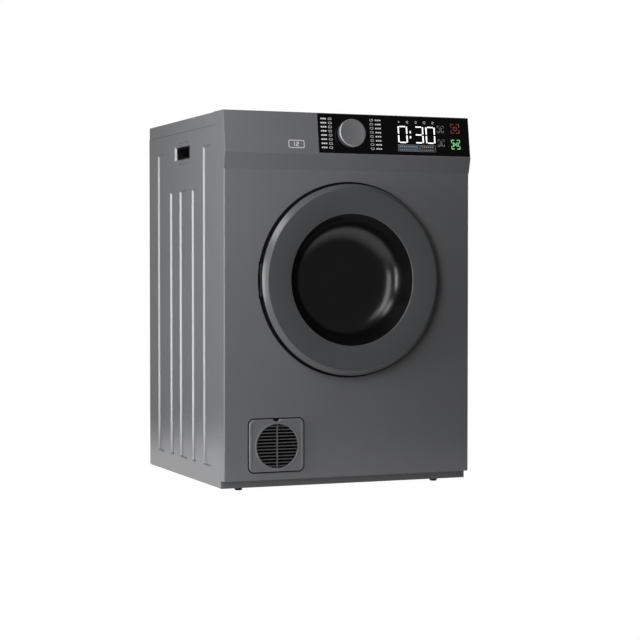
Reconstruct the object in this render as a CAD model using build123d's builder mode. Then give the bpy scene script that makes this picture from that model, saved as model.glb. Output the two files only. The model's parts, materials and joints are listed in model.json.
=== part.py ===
"""Front-loading vented clothes dryer, in millimetres.

+Z is up, the door faces -Y, and the origin is on the floor in the middle of the overall box.
A depth is measured back from the face of the front panel, a drop down from the top of the cabinet,
a height up from its underside, and a side set inwards from its side.
"""

import os
from math import asin, atan2, cos, degrees, hypot, pi, radians, sin, sqrt

from build123d import *

os.makedirs("parts", exist_ok=True)

# Cabinet
cabinet_width = 595.0
cabinet_depth = 561.0
cabinet_height = 830.0
foot_height = 10.0
sheet = 1.0
flange = 18.0
bend_radius = 1.6
front_round = 3.0
front_top_drop = 127.5
shoulder_drop = 119.0
shoulder_depth = 53.3
return_depth = 24.0
skirt_height = 29.0
skirt_depth = 72.3
cover_wall = 2.5
cover_round = 3.0

# Clearances, and the length by which a cut runs past what it cuts
turn_gap = 0.3
shaft_gap = 0.05
slip = 0.2
over = 1.0

# Plinth, with notches set in from both ends and one in the middle
plinth_height = 17.7
plinth_thick = 2.0
notch_width = 6.0
notch_height = 3.0
notch_depth = 1.0
notch_drop = 2.0
notch_outer_set = 13.9
notch_middle_set = 37.5
notch_inner_set = 162.9

# Stamped side channels: rear edge behind the middle of the handle, and width
rear_channel_set = 193.5
rear_channel_width = 50.0
hind_channel_set = 94.5
hind_channel_width = 28.0
middle_channel_set = 20.5
middle_channel_width = 53.0
fore_channel_set = -71.5
fore_channel_width = 31.0
front_channel_set = -152.5
front_channel_width = 53.0
tall_channel_drop = 70.0
short_channel_drop = 163.0
channel_foot_height = 42.0
channel_depth = 3.5
channel_round = 6.0

# Side handles, a little behind the middle of the cabinet
handle_set_back = 16.0
handle_drop = 77.0
dish_width = 115.0
dish_height = 54.0
dish_depth = 4.0
dish_corner_width = 18.0
dish_corner_height = 10.0
cup_width = 89.0
cup_height = 29.0
cup_lip = 2.0
cup_lip_thick = 1.2
cup_wall = 1.8
cup_reach = 30.0

# Rear panel with air slots, two ribs, screws and the cord gland
rear_foot_height = 3.0
intake_slots = 11
intake_pitch = 9.0
intake_slot_height = 4.0
intake_length = 150.0
intake_height = 92.0
rear_rib_set = 60.0
rear_rib_width = 26.0
rear_rib_edge = 4.0
rear_rib_foot_height = 240.0
rear_rib_drop = 130.0
rear_screws = 4
rear_screw_foot_height = 60.0
rear_screw_drop = 70.0
screw_head_radius = 4.5
screw_head_rise = 1.6
screw_recess_radius = 1.4
screw_recess_depth = 0.8
gland_side_set = 82.5
gland_drop = 180.0
gland_radius = 11.0
gland_bore_radius = 4.2
gland_length = 14.0
gland_flange_radius = 15.0
gland_flange_thick = 2.0
gland_barb = 1.5
gland_barb_length = 4.0

# Base pan and levelling feet
pan_wall = 2.0
pan_height = 24.0
foot_side_set = 56.5
foot_front_depth = 68.0
foot_rear_set = 61.0
foot_top_radius = 11.5
foot_sole_radius = 7.5
foot_sole_round = 1.0
foot_stud_radius = 5.0
foot_stud_rise = 6.0
foot_boss_radius = 13.0

# Front crossbar, control box and main board under the top cover
crossbar_depth = 80.0
crossbar_width = 20.0
crossbar_height = 26.0
crossbar_wall = 1.5
box_side_set = 27.5
box_length = 160.0
box_width = 90.0
box_height = 24.0
box_wall = 2.0
box_post_set = 10.0
box_post_radius = 3.5
box_post_height = 6.0
board_thick = 1.6
board_margin = 4.0
board_part_set = 20.0
relay_count = 2
relay_length = 20.0
relay_width = 16.0
relay_height = 15.0
relay_pitch = 35.0
capacitor_count = 3
capacitor_radius = 5.0
capacitor_height = 14.0
capacitor_pitch = 15.0
capacitor_set = 100.0
socket_length = 90.0
socket_width = 12.0
socket_height = 9.0
socket_set = 10.0

# Control fascia with its leaning face, the glass and the display board behind it
fascia_wall = 3.0
fascia_edge = 1.0
fascia_rise = 92.6
fascia_top_depth = 4.7
fascia_nose_proud = 9.1
glass_left = -77.0
glass_margin_side = 1.2
glass_margin_top = 1.2
glass_margin_foot = 3.0
glass_thick = 1.6
display_side_set = 139.5
display_lift = -1.0
display_width = 104.0
display_height = 64.0
display_play = 2.0
panel_board_left = -58.0
panel_board_side_set = 15.5
panel_board_height = 72.0
panel_board_gap = 9.0
panel_post_end_set = 10.0
panel_post_edge_set = 6.0
panel_post_radius = 3.5
encoder_size = 14.0
encoder_play = 2.0
encoder_bush_radius = 5.0
encoder_bush_set = 0.4
encoder_shaft_radius = 3.0

# Knob
knob_lift = 0.5
knob_radius = 33.0
knob_length = 17.0
knob_face_gap = 0.5
knob_base_length = 4.0
knob_base_edge = 0.6
knob_wall = 2.0
knob_crown = 5.0
knob_hub_radius = 7.0
cap_radius = 31.6
cap_thick = 1.2
cap_edge = 1.5

# Door: ring frame, bowl glass, liner and seal
door_height = 458.7
door_proud = 25.0
door_gap = 1.8
door_radius = 214.0
door_wall = 2.5
door_bevel_width = 10.5
door_bevel_depth = 11.0
door_back_edge = 3.0
door_eye_radius = 147.2
door_eye_depth = 8.0
door_eye_edge = 2.0
door_dish = 5.0
door_eye_rib = 11.0
bowl_depth = 48.0
bowl_taper = 27.2
bowl_thick = 4.0
bowl_round = 15.0
bowl_play = 0.4
bowl_brim_width = 10.0
bowl_brim_thick = 3.0
liner_inset = 5.4
liner_play = 3.5
liner_taper = 5.0
liner_depth = 13.0
liner_floor_width = 21.5
liner_seat_play = 1.2
liner_seat_width = 5.0
seal_set = 1.0
seal_width = 8.0
door_screws_round = 8
door_screw_radius = 4.0
door_screw_rise = 2.0
door_screw_recess_radius = 1.2
door_screw_recess_depth = 1.1

# Hinge, strike and latch
hinge_inset = 2.0
hinge_proud = 6.5
hinge_height = 72.0
hinge_play = 1.0
hinge_barrel_radius = 4.0
hinge_pin_radius = 2.0
hinge_pocket_radius = 5.2
hinge_arm_width = 5.0
knuckle_height = 27.4
leaf_length = 25.0
leaf_thick = 2.6
hinge_plate_thick = 2.5
hinge_plate_outer = 22.0
hinge_plate_inner = 18.0
hinge_plate_height = 92.0
strike_inset = 5.6
strike_thick = 5.0
strike_height = 12.0
strike_depth = 17.0
strike_hole_set = 4.0
strike_hole_length = 5.0
strike_hole_height = 7.0
latch_play_inner = 1.2
latch_play_outer = 2.2
latch_wall_inner = 6.0
latch_wall_outer = 8.0
latch_window_height = 16.0
latch_height = 44.0
latch_depth = 30.0
latch_pocket_depth = 22.0
latch_flange_height = 68.0
latch_flange_thick = 3.0

# Throat and bulkheads
throat_radius = 190.0
throat_wall = 1.5
throat_flange_set = 40.0
throat_overlap = 6.0
vent_rows = 3
vent_width = 108.0
vent_height = 5.0
vent_pitch = 9.0
vent_set = 10.0
bulkhead_depth = 60.0
bulkhead_thick = 1.5
bulkhead_margin = 6.0
rear_bulkhead_set = 46.0
rear_bulkhead_drop = 4.0
felt_thick = 8.0
felt_set = 1.0
front_felt_length = 22.5
rear_felt_inset = 6.0
rear_felt_width = 16.0

# Drum with beads, perforated back, lifters and shaft
drum_radius = 277.0
drum_sheet = 1.0
drum_front_depth = 66.0
drum_rear_set = 61.0
drum_back_set = 2.0
bead_count = 3
bead_first_depth = 150.0
bead_pitch = 125.0
bead_height = 3.0
bead_width = 16.0
bead_floor = 8.0
hole_rings = 4
hole_ring_radius = 120.0
hole_ring_step = 30.0
hole_first_count = 24
hole_more_count = 6
hole_radius = 5.0
lifter_count = 3
lifter_height = 62.0
lifter_width = 74.0
lifter_head_width = 22.0
lifter_wall = 3.0
lifter_foot_wall = 4.0
lifter_head_wall = 1.5
lifter_round = 8.0
lifter_front_depth = 115.0
lifter_rear_set = 35.0
drum_shaft_radius = 10.0
drum_shaft_set = 16.0
hub_radius = 62.0
hub_thick = 5.0
bearing_radius = 24.0
bearing_front_set = 6.0
bearing_rear_set = 5.0
bearing_flange_radius = 55.0
bearing_flange_thick = 5.0

# Front drum rollers
roller_radius = 35.0
roller_angle = radians(38.0)
roller_width = 18.0
roller_front_depth = 69.0
roller_rim = 8.0
roller_recess = 5.0
roller_hub_wall = 6.0
axle_radius = 6.0
axle_end = 8.0
axle_front_collar = 5.0
axle_rear_collar = 4.0
axle_collar_length = 4.0

# Rear air duct and heater
air_duct_radius = 240.0
air_duct_set = 8.0
air_duct_wall = 1.5
air_duct_window_height = 96.0
neck_width = 184.0
neck_foot_height = 40.0
neck_head_set = 200.0
heater_foot_height = 165.0
heater_height = 60.0
heater_front_set = 4.0
heater_rear_set = 6.0
heater_end_thick = 4.0
heater_bars = 4
heater_bar_height = 4.0
heater_bar_first = 6.0
heater_bar_pitch = 16.0
heater_bar_set = 4.0
heater_fins = 30
fin_pitch = 5.6
fin_thick = 0.8
fin_set = 2.0

# Motor, pulley and bracket under the drum
motor_x = 40.0
motor_height = 95.0
motor_radius = 60.0
motor_front_depth = 170.0
motor_length = 125.0
motor_edge = 6.0
motor_wall = 8.0
motor_end_wall = 5.0
motor_boss_radius = 18.0
motor_boss_length = 10.0
motor_shaft_radius = 6.0
motor_shaft_set = 10.0
rotor_end_set = 20.0
rotor_inset = 20.0
pulley_radius = 12.0
pulley_flange = 4.0
pulley_flange_thick = 3.0
cradle_thick = 3.0
cradle_set = 2.0
cradle_width = 80.0
cradle_rise = 8.0
bracket_front_margin = 10.0
bracket_rear_margin = 20.0
bracket_motor_margin = 60.0
bracket_idler_margin = 30.0

# Belt and idler
belt_depth = 330.0
belt_width = 9.0
belt_thick = 2.4
idler_x = -38.0
idler_height = 116.0
idler_radius = 20.0
idler_width = 18.0
idler_pivot_x = -105.0
idler_pivot_height = 62.0
idler_pin_radius = 4.0
idler_pin_end = 5.0
arm_set = 16.0
arm_thick = 4.0
arm_width = 18.0
arm_tab_rise = 30.0
pivot_post_width = 32.0
pivot_post_thick = 4.0
pivot_post_rise = 14.0
pivot_post_gap = 6.0
pivot_collar = 4.0
pivot_cap = 3.0
pivot_cap_length = 5.0
spring_set = 32.0
spring_rise = 4.0
spring_radius = 6.5
spring_wire = 1.1
spring_turns = 9
spring_pad_width = 18.0
spring_pad_thick = 3.0

# Blower
scroll_radius = 78.0
scroll_wall = 2.0
scroll_front_depth = 66.0
scroll_length = 54.0
scroll_inlet_radius = 46.0
scroll_shaft_play = 2.0
outlet_reach = 4.0
outlet_lift = 10.0
blower_leg_set = 45.0
blower_leg_width = 12.0
blower_leg_length = 16.0
blower_leg_drop = 63.0
wheel_radius = 62.0
wheel_gap = 6.0
wheel_disc_thick = 2.0
wheel_ring_width = 13.0
wheel_hub_radius = 12.0
blade_count = 26
blade_length = 11.0
blade_thick = 1.4
blade_inset = 7.0
blade_angle = 28

# Exhaust port, duct and grille, low on the left of the front
port_side_set = 123.0
port_height = 92.3
port_radius = 50.0
port_wall = 2.0
port_flange = 5.0
port_flange_thick = 3.0
exhaust_margin = 14.0
exhaust_foot_height = 36.0
exhaust_wall = 2.0
grille_left_reach = 65.9
grille_right_reach = 62.6
grille_foot_reach = 56.5
grille_head_reach = 59.7
grille_proud = 5.0
grille_round = 12.0
grille_edge_round = 2.5
grille_eye_radius = 48.6
grille_notch_width = 15.0
grille_notch_height = 5.0
grille_notch_depth = 3.4
louvre_bars = 13
louvre_pitch = 7.25
louvre_thick = 2.4
louvre_set = 1.2
peg_inset = 8.0
peg_radius = 2.5
peg_reach = 2.4

# Lint filter and its duct under the throat
filter_width = 168.0
filter_foot_height = 158.0
filter_depth = 26.0
filter_thick = 14.0
filter_play = 2.0
filter_border = 9.0
filter_head_border = 8.0
mesh_bars = 24
mesh_bar_width = 3.2
mesh_bar_thick = 2.0
mesh_set = 6.0
grip_width = 52.0
grip_thick = 4.0
grip_set = 5.0
grip_foot = 2.0
grip_rise = 12.0
filter_duct_width = 200.0
filter_duct_front = 4.0
filter_duct_foot_height = 40.0
filter_duct_wall = 2.0
filter_ledge = 4.0

# Planes and heights that several pieces share
half_width = cabinet_width / 2
front_y = door_proud - (cabinet_depth + door_proud) / 2
rear_y = front_y + cabinet_depth
base_z = foot_height
top_z = base_z + cabinet_height
skirt_z = top_z - skirt_height
shoulder_z = top_z - shoulder_drop
front_bottom_z = base_z + plinth_height
front_top_z = top_z - front_top_drop
door_z = base_z + door_height
door_axis = Axis((0, 0, door_z), (0, 1, 0))
drum_rear_depth = cabinet_depth - drum_rear_set
rear_bulkhead_depth = cabinet_depth - rear_bulkhead_set
motor_z = base_z + motor_height
port_x = port_side_set - half_width
port_z = base_z + port_height


def at(depth):
    """Y of a point that lies depth behind the front face."""
    return front_y + depth


def facing(depth):
    """Plane seen from the front, with X to the right and Z up, that extrudes forward."""
    return Plane(origin=(0, at(depth), 0), x_dir=(1, 0, 0), z_dir=(0, -1, 0))


def about(middle, width):
    """Pair of ends, half a width to each side of a middle."""
    return (middle - width / 2, middle + width / 2)


def block(xs, ys, zs, mode=Mode.ADD):
    """Box between pairs of X, Y and Z."""
    middle = (sum(xs) / 2, sum(ys) / 2, sum(zs) / 2)
    with Locations(middle):
        Box(abs(xs[1] - xs[0]), abs(ys[1] - ys[0]), abs(zs[1] - zs[0]), mode=mode)


def rod(x, z, depths, radius, mode=Mode.ADD):
    """Round bar along Y between two depths."""
    middle = (x, at(sum(depths) / 2), z)
    with Locations(Location(middle, (90, 0, 0))):
        Cylinder(radius, abs(depths[1] - depths[0]), mode=mode)


def post(x, y, zs, radius, mode=Mode.ADD):
    """Round bar along Z between two heights."""
    with Locations((x, y, sum(zs) / 2)):
        Cylinder(radius, abs(zs[1] - zs[0]), mode=mode)


def octagon(width, height, centre):
    """Corners of the handle dish: a rectangle with its four corners cut off."""
    half_w, half_h = width / 2, height / 2
    quarter = [(half_w - dish_corner_width, half_h), (half_w, half_h - dish_corner_height)]
    right = [(x, -y) for x, y in reversed(quarter)]
    left = [(-x, -y) for x, y in quarter] + [(-x, y) for x, y in reversed(quarter)]
    return [(centre[0] + x, centre[1] + y) for x, y in quarter + right + left]


def turned(section):
    """Outline of depth and radius pairs, moved to Y and Z for turning about the door's axis."""
    return [(at(depth), door_z + radius) for depth, radius in section]


# Side panels: one tray of sheet each, with flanges all round, stamped channels and a handle dish
handle_depth = cabinet_depth / 2 + handle_set_back
handle_spot = (at(handle_depth), top_z - handle_drop)
cup_hole_width = cup_width - 2 * cup_lip
cup_hole_height = cup_height - 2 * cup_lip
channels = (
    (rear_channel_set, rear_channel_width, tall_channel_drop),
    (hind_channel_set, hind_channel_width, short_channel_drop),
    (middle_channel_set, middle_channel_width, short_channel_drop),
    (fore_channel_set, fore_channel_width, short_channel_drop),
    (front_channel_set, front_channel_width, tall_channel_drop),
)
side_outline = [
    (at(return_depth), base_z),
    (rear_y - sheet, base_z),
    (rear_y - sheet, skirt_z),
    (at(shoulder_depth), skirt_z),
    (at(return_depth), shoulder_z),
]
for side, hand in ((-1, "left"), (1, "right")):
    with BuildPart() as side_panel:
        with BuildSketch(Plane.YZ.offset(side * half_width)):
            Polygon(*side_outline, align=None)
        extrude(amount=-side * flange)
        outer_skin = side_panel.faces().filter_by(Axis.X).sort_by(Axis.X)[-(1 + side) // 2]
        fillet(outer_skin.edges(), bend_radius)
        with BuildSketch(Plane.YZ.offset(side * (half_width - sheet))):
            Polygon(*side_outline, align=None)
            offset(amount=-sheet, kind=Kind.INTERSECTION, mode=Mode.REPLACE)
        extrude(amount=-side * flange, mode=Mode.SUBTRACT)
        for skin, stamp in ((sheet, Mode.ADD), (0, Mode.SUBTRACT)):
            mouth = Plane.YZ.offset(side * (half_width - skin))
            for rear_set, width, drop in channels:
                foot_z = base_z + channel_foot_height
                length = top_z - drop - foot_z
                middle = (at(handle_depth + rear_set - width / 2), foot_z + length / 2)
                with BuildSketch(mouth):
                    with Locations(middle):
                        RectangleRounded(width, length, channel_round)
                with BuildSketch(mouth.offset(-side * channel_depth)):
                    with Locations(middle):
                        floor_size = (width - 2 * channel_depth, length - 2 * channel_depth)
                        RectangleRounded(*floor_size, channel_round / 2)
                loft(ruled=True, mode=stamp)
            with BuildSketch(mouth):
                Polygon(*octagon(dish_width, dish_height, handle_spot), align=None)
            with BuildSketch(mouth.offset(-side * dish_depth)):
                dish_floor = octagon(dish_width - 2 * dish_depth, dish_height - 2 * dish_depth, handle_spot)
                Polygon(*dish_floor, align=None)
            loft(ruled=True, mode=stamp)
        with BuildSketch(Plane.YZ.offset(side * half_width)):
            with Locations(handle_spot):
                Rectangle(cup_hole_width, cup_hole_height)
        extrude(amount=-side * flange, mode=Mode.SUBTRACT)
    side_panel.part.label = hand + "_side_panel"
    export_step(side_panel.part, "parts/" + hand + "_side_panel.step")

# Handle cups: a lip on the dish floor and a pocket for the fingers
for side, hand in ((-1, "left"), (1, "right")):
    with BuildPart() as handle_cup:
        floor_plane = Plane.YZ.offset(side * (half_width - dish_depth))
        with BuildSketch(floor_plane):
            with Locations(handle_spot):
                RectangleRounded(cup_width, cup_height, cup_lip)
        extrude(amount=side * cup_lip_thick)
        with BuildSketch(floor_plane):
            with Locations(handle_spot):
                Rectangle(cup_hole_width - 2 * slip, cup_hole_height - 2 * slip)
        extrude(amount=-side * cup_reach)
        with BuildSketch(floor_plane.offset(side * cup_lip_thick)):
            with Locations(handle_spot):
                Rectangle(cup_hole_width - 2 * cup_wall, cup_hole_height - 2 * cup_wall)
        extrude(amount=-side * (cup_lip_thick + cup_reach - cup_wall), mode=Mode.SUBTRACT)
    handle_cup.part.label = hand + "_handle_cup"
    export_step(handle_cup.part, "parts/" + hand + "_handle_cup.step")

# Top cover: a moulded lid whose skirt stands on the side panels
cover_inner_x = about(0, cabinet_width - 2 * cover_wall)
cover_inner_y = (at(skirt_depth) + cover_wall, rear_y - cover_wall)
with BuildPart() as top_cover:
    block(about(0, cabinet_width), (at(skirt_depth), rear_y), (skirt_z, top_z))
    rear_uprights = top_cover.edges().filter_by(Axis.Z).group_by(Axis.Y)[-1]
    lid_edges = top_cover.faces().sort_by(Axis.Z)[-1].edges()
    fillet(rear_uprights + lid_edges.sort_by(Axis.Y)[1:], cover_round)
    block(cover_inner_x, cover_inner_y, (skirt_z, top_z - cover_wall), Mode.SUBTRACT)
top_cover.part.label = "top_cover"
export_step(top_cover.part, "parts/top_cover.step")

# Rear panel: sheet on the rear flanges, with air slots over the heater and a hole for the cord gland
intake_z = base_z + intake_height
gland_x = half_width - gland_side_set
gland_z = top_z - gland_drop
rear_rib_zs = (base_z + rear_rib_foot_height, top_z - rear_rib_drop)
rear_rib_inner_zs = (rear_rib_zs[0] + rear_rib_edge, rear_rib_zs[1] - rear_rib_edge)
with BuildPart() as rear_panel:
    block(about(0, cabinet_width), (rear_y - sheet, rear_y), (base_z + rear_foot_height, skirt_z))
    for side in (-1, 1):
        rib_middle = side * (rear_rib_set + rear_rib_width / 2)
        rib_inner_xs = about(rib_middle, rear_rib_width - 2 * rear_rib_edge)
        block(about(rib_middle, rear_rib_width), (rear_y - 2 * sheet, rear_y - sheet), rear_rib_zs)
        block(rib_inner_xs, (rear_y - sheet, rear_y), rear_rib_inner_zs, Mode.SUBTRACT)
    for row in range(intake_slots):
        slot_z = intake_z + (row - (intake_slots - 1) / 2) * intake_pitch
        slot_zs = about(slot_z, intake_slot_height)
        block(about(0, intake_length), (rear_y - sheet - over, rear_y + over), slot_zs, Mode.SUBTRACT)
    rod(gland_x, gland_z, (cabinet_depth - sheet - over, cabinet_depth + over), gland_radius, Mode.SUBTRACT)
rear_panel.part.label = "rear_panel"
export_step(rear_panel.part, "parts/rear_panel.step")

# Cord gland: a flanged bush with a barb behind the rear panel
gland_front = cabinet_depth - gland_length
gland_back = cabinet_depth + gland_flange_thick
barb_back = cabinet_depth - sheet
with BuildPart() as cord_gland:
    rod(gland_x, gland_z, (gland_front, cabinet_depth), gland_radius - slip)
    rod(gland_x, gland_z, (cabinet_depth, gland_back), gland_flange_radius)
    rod(gland_x, gland_z, (barb_back - gland_barb_length, barb_back), gland_radius + gland_barb)
    rod(gland_x, gland_z, (gland_front - over, gland_back + over), gland_bore_radius, Mode.SUBTRACT)
cord_gland.part.label = "cord_gland"
export_step(cord_gland.part, "parts/cord_gland.step")

# Cabinet screws: pan heads with a recess, up both edges of the rear panel
screw_first_z = base_z + rear_screw_foot_height
screw_last_z = top_z - rear_screw_drop
screw_back = cabinet_depth + screw_head_rise
with BuildPart() as cabinet_screws:
    for side in (-1, 1):
        for number in range(rear_screws):
            screw_x = side * (half_width - flange / 2)
            screw_z = screw_first_z + (screw_last_z - screw_first_z) * number / (rear_screws - 1)
            recess_depths = (screw_back - screw_recess_depth, screw_back + over)
            rod(screw_x, screw_z, (cabinet_depth, screw_back), screw_head_radius)
            rod(screw_x, screw_z, recess_depths, screw_recess_radius, Mode.SUBTRACT)
cabinet_screws.part.label = "cabinet_screws"
export_step(cabinet_screws.part, "parts/cabinet_screws.step")

# Base pan: a tray on the bottom flanges, with a threaded boss for each foot
inner_width = cabinet_width - 2 * sheet
pan_ys = (at(return_depth) + 2 * sheet, rear_y - 2 * sheet)
pan_z = base_z + sheet
pan_zs = (pan_z, pan_z + pan_height)
foot_x = half_width - foot_side_set
foot_ys = (at(foot_front_depth), at(cabinet_depth - foot_rear_set))
foot_spots = [(side * foot_x, y) for y in foot_ys for side in (-1, 1)]
with BuildPart() as base_pan:
    block(about(0, inner_width), pan_ys, pan_zs)
    pan_inner_ys = (pan_ys[0] + pan_wall, pan_ys[1] - pan_wall)
    block(about(0, inner_width - 2 * pan_wall), pan_inner_ys, (pan_z + pan_wall, pan_zs[1]), Mode.SUBTRACT)
    for x, y in foot_spots:
        post(x, y, (pan_z, pan_zs[1] - pan_wall), foot_boss_radius)
        post(x, y, pan_zs, foot_stud_radius + turn_gap, Mode.SUBTRACT)
base_pan.part.label = "base_pan"
export_step(base_pan.part, "parts/base_pan.step")

# Levelling feet: a tapered foot on a stud
foot_names = ("front_left", "front_right", "rear_left", "rear_right")
for (x, y), corner in zip(foot_spots, foot_names):
    with BuildPart() as foot:
        with Locations((x, y, pan_z / 2)):
            Cone(foot_sole_radius, foot_top_radius, pan_z)
        fillet(foot.edges().sort_by(Axis.Z)[0], foot_sole_round)
        post(x, y, (pan_z, pan_zs[1] + foot_stud_rise), foot_stud_radius)
    foot.part.label = "foot_" + corner
    export_step(foot.part, "parts/foot_" + corner + ".step")

# Plinth: a strip in front of the side panels with small notches under its top edge
plinth_y = at(return_depth) - plinth_thick
notch_ends = [half_width - inset for inset in (notch_outer_set, notch_middle_set, notch_inner_set)]
notch_spots = [-x for x in notch_ends] + [0.0] + notch_ends
notch_zs = (front_bottom_z - notch_drop - notch_height, front_bottom_z - notch_drop)
with BuildPart() as plinth:
    block(about(0, cabinet_width), (plinth_y, at(return_depth)), (base_z, front_bottom_z))
    for x in notch_spots:
        block(about(x, notch_width), (plinth_y - over, plinth_y + notch_depth), notch_zs, Mode.SUBTRACT)
plinth.part.label = "plinth"
export_step(plinth.part, "parts/plinth.step")

# Front crossbar: a channel between the side panels that carries the control box
crossbar_back = crossbar_depth + crossbar_width
crossbar_head_z = skirt_z - sheet
crossbar_foot_z = crossbar_head_z - crossbar_height
with BuildPart() as front_crossbar:
    block(about(0, inner_width), (at(crossbar_depth), at(crossbar_back)), (crossbar_foot_z, crossbar_head_z))
    hollow_ys = (at(crossbar_depth + crossbar_wall), at(crossbar_back - crossbar_wall))
    hollow_zs = (crossbar_foot_z, crossbar_head_z - crossbar_wall)
    block(about(0, inner_width), hollow_ys, hollow_zs, Mode.SUBTRACT)
front_crossbar.part.label = "front_crossbar"
export_step(front_crossbar.part, "parts/front_crossbar.step")

# Control box on the crossbar, open at the top, with posts for the main board
box_right = half_width - box_side_set
box_xs = (box_right - box_length, box_right)
box_ys = (at(crossbar_back), at(crossbar_back + box_width))
box_foot_z = skirt_z - box_height
with BuildPart() as control_box:
    block(box_xs, box_ys, (box_foot_z, skirt_z))
    inner_xs = (box_xs[0] + box_wall, box_xs[1] - box_wall)
    inner_ys = (box_ys[0] + box_wall, box_ys[1] - box_wall)
    block(inner_xs, inner_ys, (box_foot_z + box_wall, skirt_z), Mode.SUBTRACT)
    for x in (box_xs[0] + box_post_set, box_xs[1] - box_post_set):
        for y in (box_ys[0] + box_post_set, box_ys[1] - box_post_set):
            post(x, y, (box_foot_z, box_foot_z + box_post_height), box_post_radius)
control_box.part.label = "control_box"
export_step(control_box.part, "parts/control_box.step")

# Main board with relays, capacitors and a row of sockets
board_z = box_foot_z + box_post_height
board_xs = (box_xs[0] + board_margin, box_xs[1] - board_margin)
board_ys = (box_ys[0] + board_margin, box_ys[1] - board_margin)
part_x = board_xs[0] + board_part_set
part_y = board_ys[0] + board_part_set
with BuildPart() as main_board:
    block(board_xs, board_ys, (board_z, board_z + board_thick))
    for number in range(relay_count):
        relay_x = part_x + number * relay_pitch
        relay_zs = (board_z, board_z + relay_height)
        block((relay_x, relay_x + relay_length), (part_y, part_y + relay_width), relay_zs)
    for number in range(capacitor_count):
        capacitor_x = board_xs[0] + capacitor_set + number * capacitor_pitch
        post(capacitor_x, part_y, (board_z, board_z + capacitor_height), capacitor_radius)
    socket_y = board_ys[1] - socket_set
    socket_ys = (socket_y - socket_width, socket_y)
    block((part_x, part_x + socket_length), socket_ys, (board_z, board_z + socket_height))
main_board.part.label = "main_board"
export_step(main_board.part, "parts/main_board.step")

# Front panel: a tray with rounded upright edges, the door opening, and openings for hinge, latch and port
front_ways = (-over, sheet + over)
front_cut_ys = (at(-over), at(sheet + over))
hinge_x = hinge_inset - door_radius
liner_radius = door_radius - liner_inset
strike_x = liner_radius - strike_inset
hinge_window_xs = about(hinge_x, 2 * hinge_arm_width)
hinge_window_zs = about(door_z, hinge_height + 2 * hinge_play)
strike_xs = about(strike_x, strike_thick)
latch_window_xs = (strike_xs[0] - latch_play_inner, strike_xs[1] + latch_play_outer)
latch_window_zs = about(door_z, latch_window_height)
grille_xs = (port_x - grille_left_reach, port_x + grille_right_reach)
grille_zs = (port_z - grille_foot_reach, port_z + grille_head_reach)
peg_xs = (grille_xs[0] + peg_inset, grille_xs[1] - peg_inset)
peg_zs = (grille_zs[0] + peg_inset, grille_zs[1] - peg_inset)
peg_spots = [(x, z) for x in peg_xs for z in peg_zs]
front_height = front_top_z - front_bottom_z
with BuildPart() as front_panel:
    with BuildSketch(Plane.XY.offset(front_bottom_z)) as tray_plan:
        with Locations((0, at(return_depth / 2))):
            Rectangle(cabinet_width, return_depth)
        fillet(tray_plan.vertices().group_by(Axis.Y)[0], front_round)
    extrude(amount=front_height)
    with BuildSketch(Plane.XY.offset(front_bottom_z + sheet)) as hollow_plan:
        with Locations((0, at((sheet + return_depth) / 2))):
            Rectangle(inner_width, return_depth - sheet)
        fillet(hollow_plan.vertices().group_by(Axis.Y)[0], front_round - sheet)
    extrude(amount=front_height - 2 * sheet, mode=Mode.SUBTRACT)
    rod(0, door_z, front_ways, throat_radius, Mode.SUBTRACT)
    block(hinge_window_xs, front_cut_ys, hinge_window_zs, Mode.SUBTRACT)
    block(latch_window_xs, front_cut_ys, latch_window_zs, Mode.SUBTRACT)
    rod(port_x, port_z, front_ways, port_radius + port_wall + slip, Mode.SUBTRACT)
    for x, z in peg_spots:
        rod(x, z, front_ways, peg_radius + turn_gap, Mode.SUBTRACT)
front_panel.part.label = "front_panel"
export_step(front_panel.part, "parts/front_panel.step")

# Control fascia: a moulded shell with end cheeks, open at the back
fascia_top = (at(fascia_top_depth), top_z)
fascia_nose = (at(-fascia_nose_proud), top_z - fascia_rise)
fascia_chin = (at(0), front_top_z)
fascia_set = fascia_top_depth + fascia_nose_proud
fascia_lean = atan2(fascia_set, fascia_rise)
fascia_length = hypot(fascia_set, fascia_rise)
cheek_outline = [
    fascia_top,
    fascia_nose,
    fascia_chin,
    (at(return_depth), front_top_z),
    (at(return_depth), shoulder_z),
    (at(shoulder_depth), skirt_z),
    (at(skirt_depth), skirt_z),
    (at(skirt_depth), top_z),
]
open_y = at(2 * skirt_depth)
hollow_outline = [fascia_top, fascia_nose, fascia_chin, (open_y, front_top_z), (open_y, top_z)]
fascia_middle = (0, (fascia_top[0] + fascia_nose[0]) / 2, (fascia_top[1] + fascia_nose[1]) / 2)
fascia_normal = (0, -cos(fascia_lean), sin(fascia_lean))
fascia_face = Plane(origin=fascia_middle, x_dir=(1, 0, 0), z_dir=fascia_normal)
glass_width = half_width - glass_margin_side - glass_left
glass_height = fascia_length - glass_margin_top - glass_margin_foot
glass_spot = (glass_left + glass_width / 2, (glass_margin_foot - glass_margin_top) / 2)
knob_spot = (0, knob_lift)
display_spot = (half_width - display_side_set, display_lift)
panel_board_xs = (panel_board_left, half_width - panel_board_side_set)
panel_board_length = panel_board_xs[1] - panel_board_xs[0]
panel_board_spot = (sum(panel_board_xs) / 2, 0)
panel_post_xs = (panel_board_xs[0] + panel_post_end_set, panel_board_xs[1] - panel_post_end_set)
panel_post_vs = about(0, panel_board_height - 2 * panel_post_edge_set)
panel_posts = [(x, v) for x in panel_post_xs for v in panel_post_vs]
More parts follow.
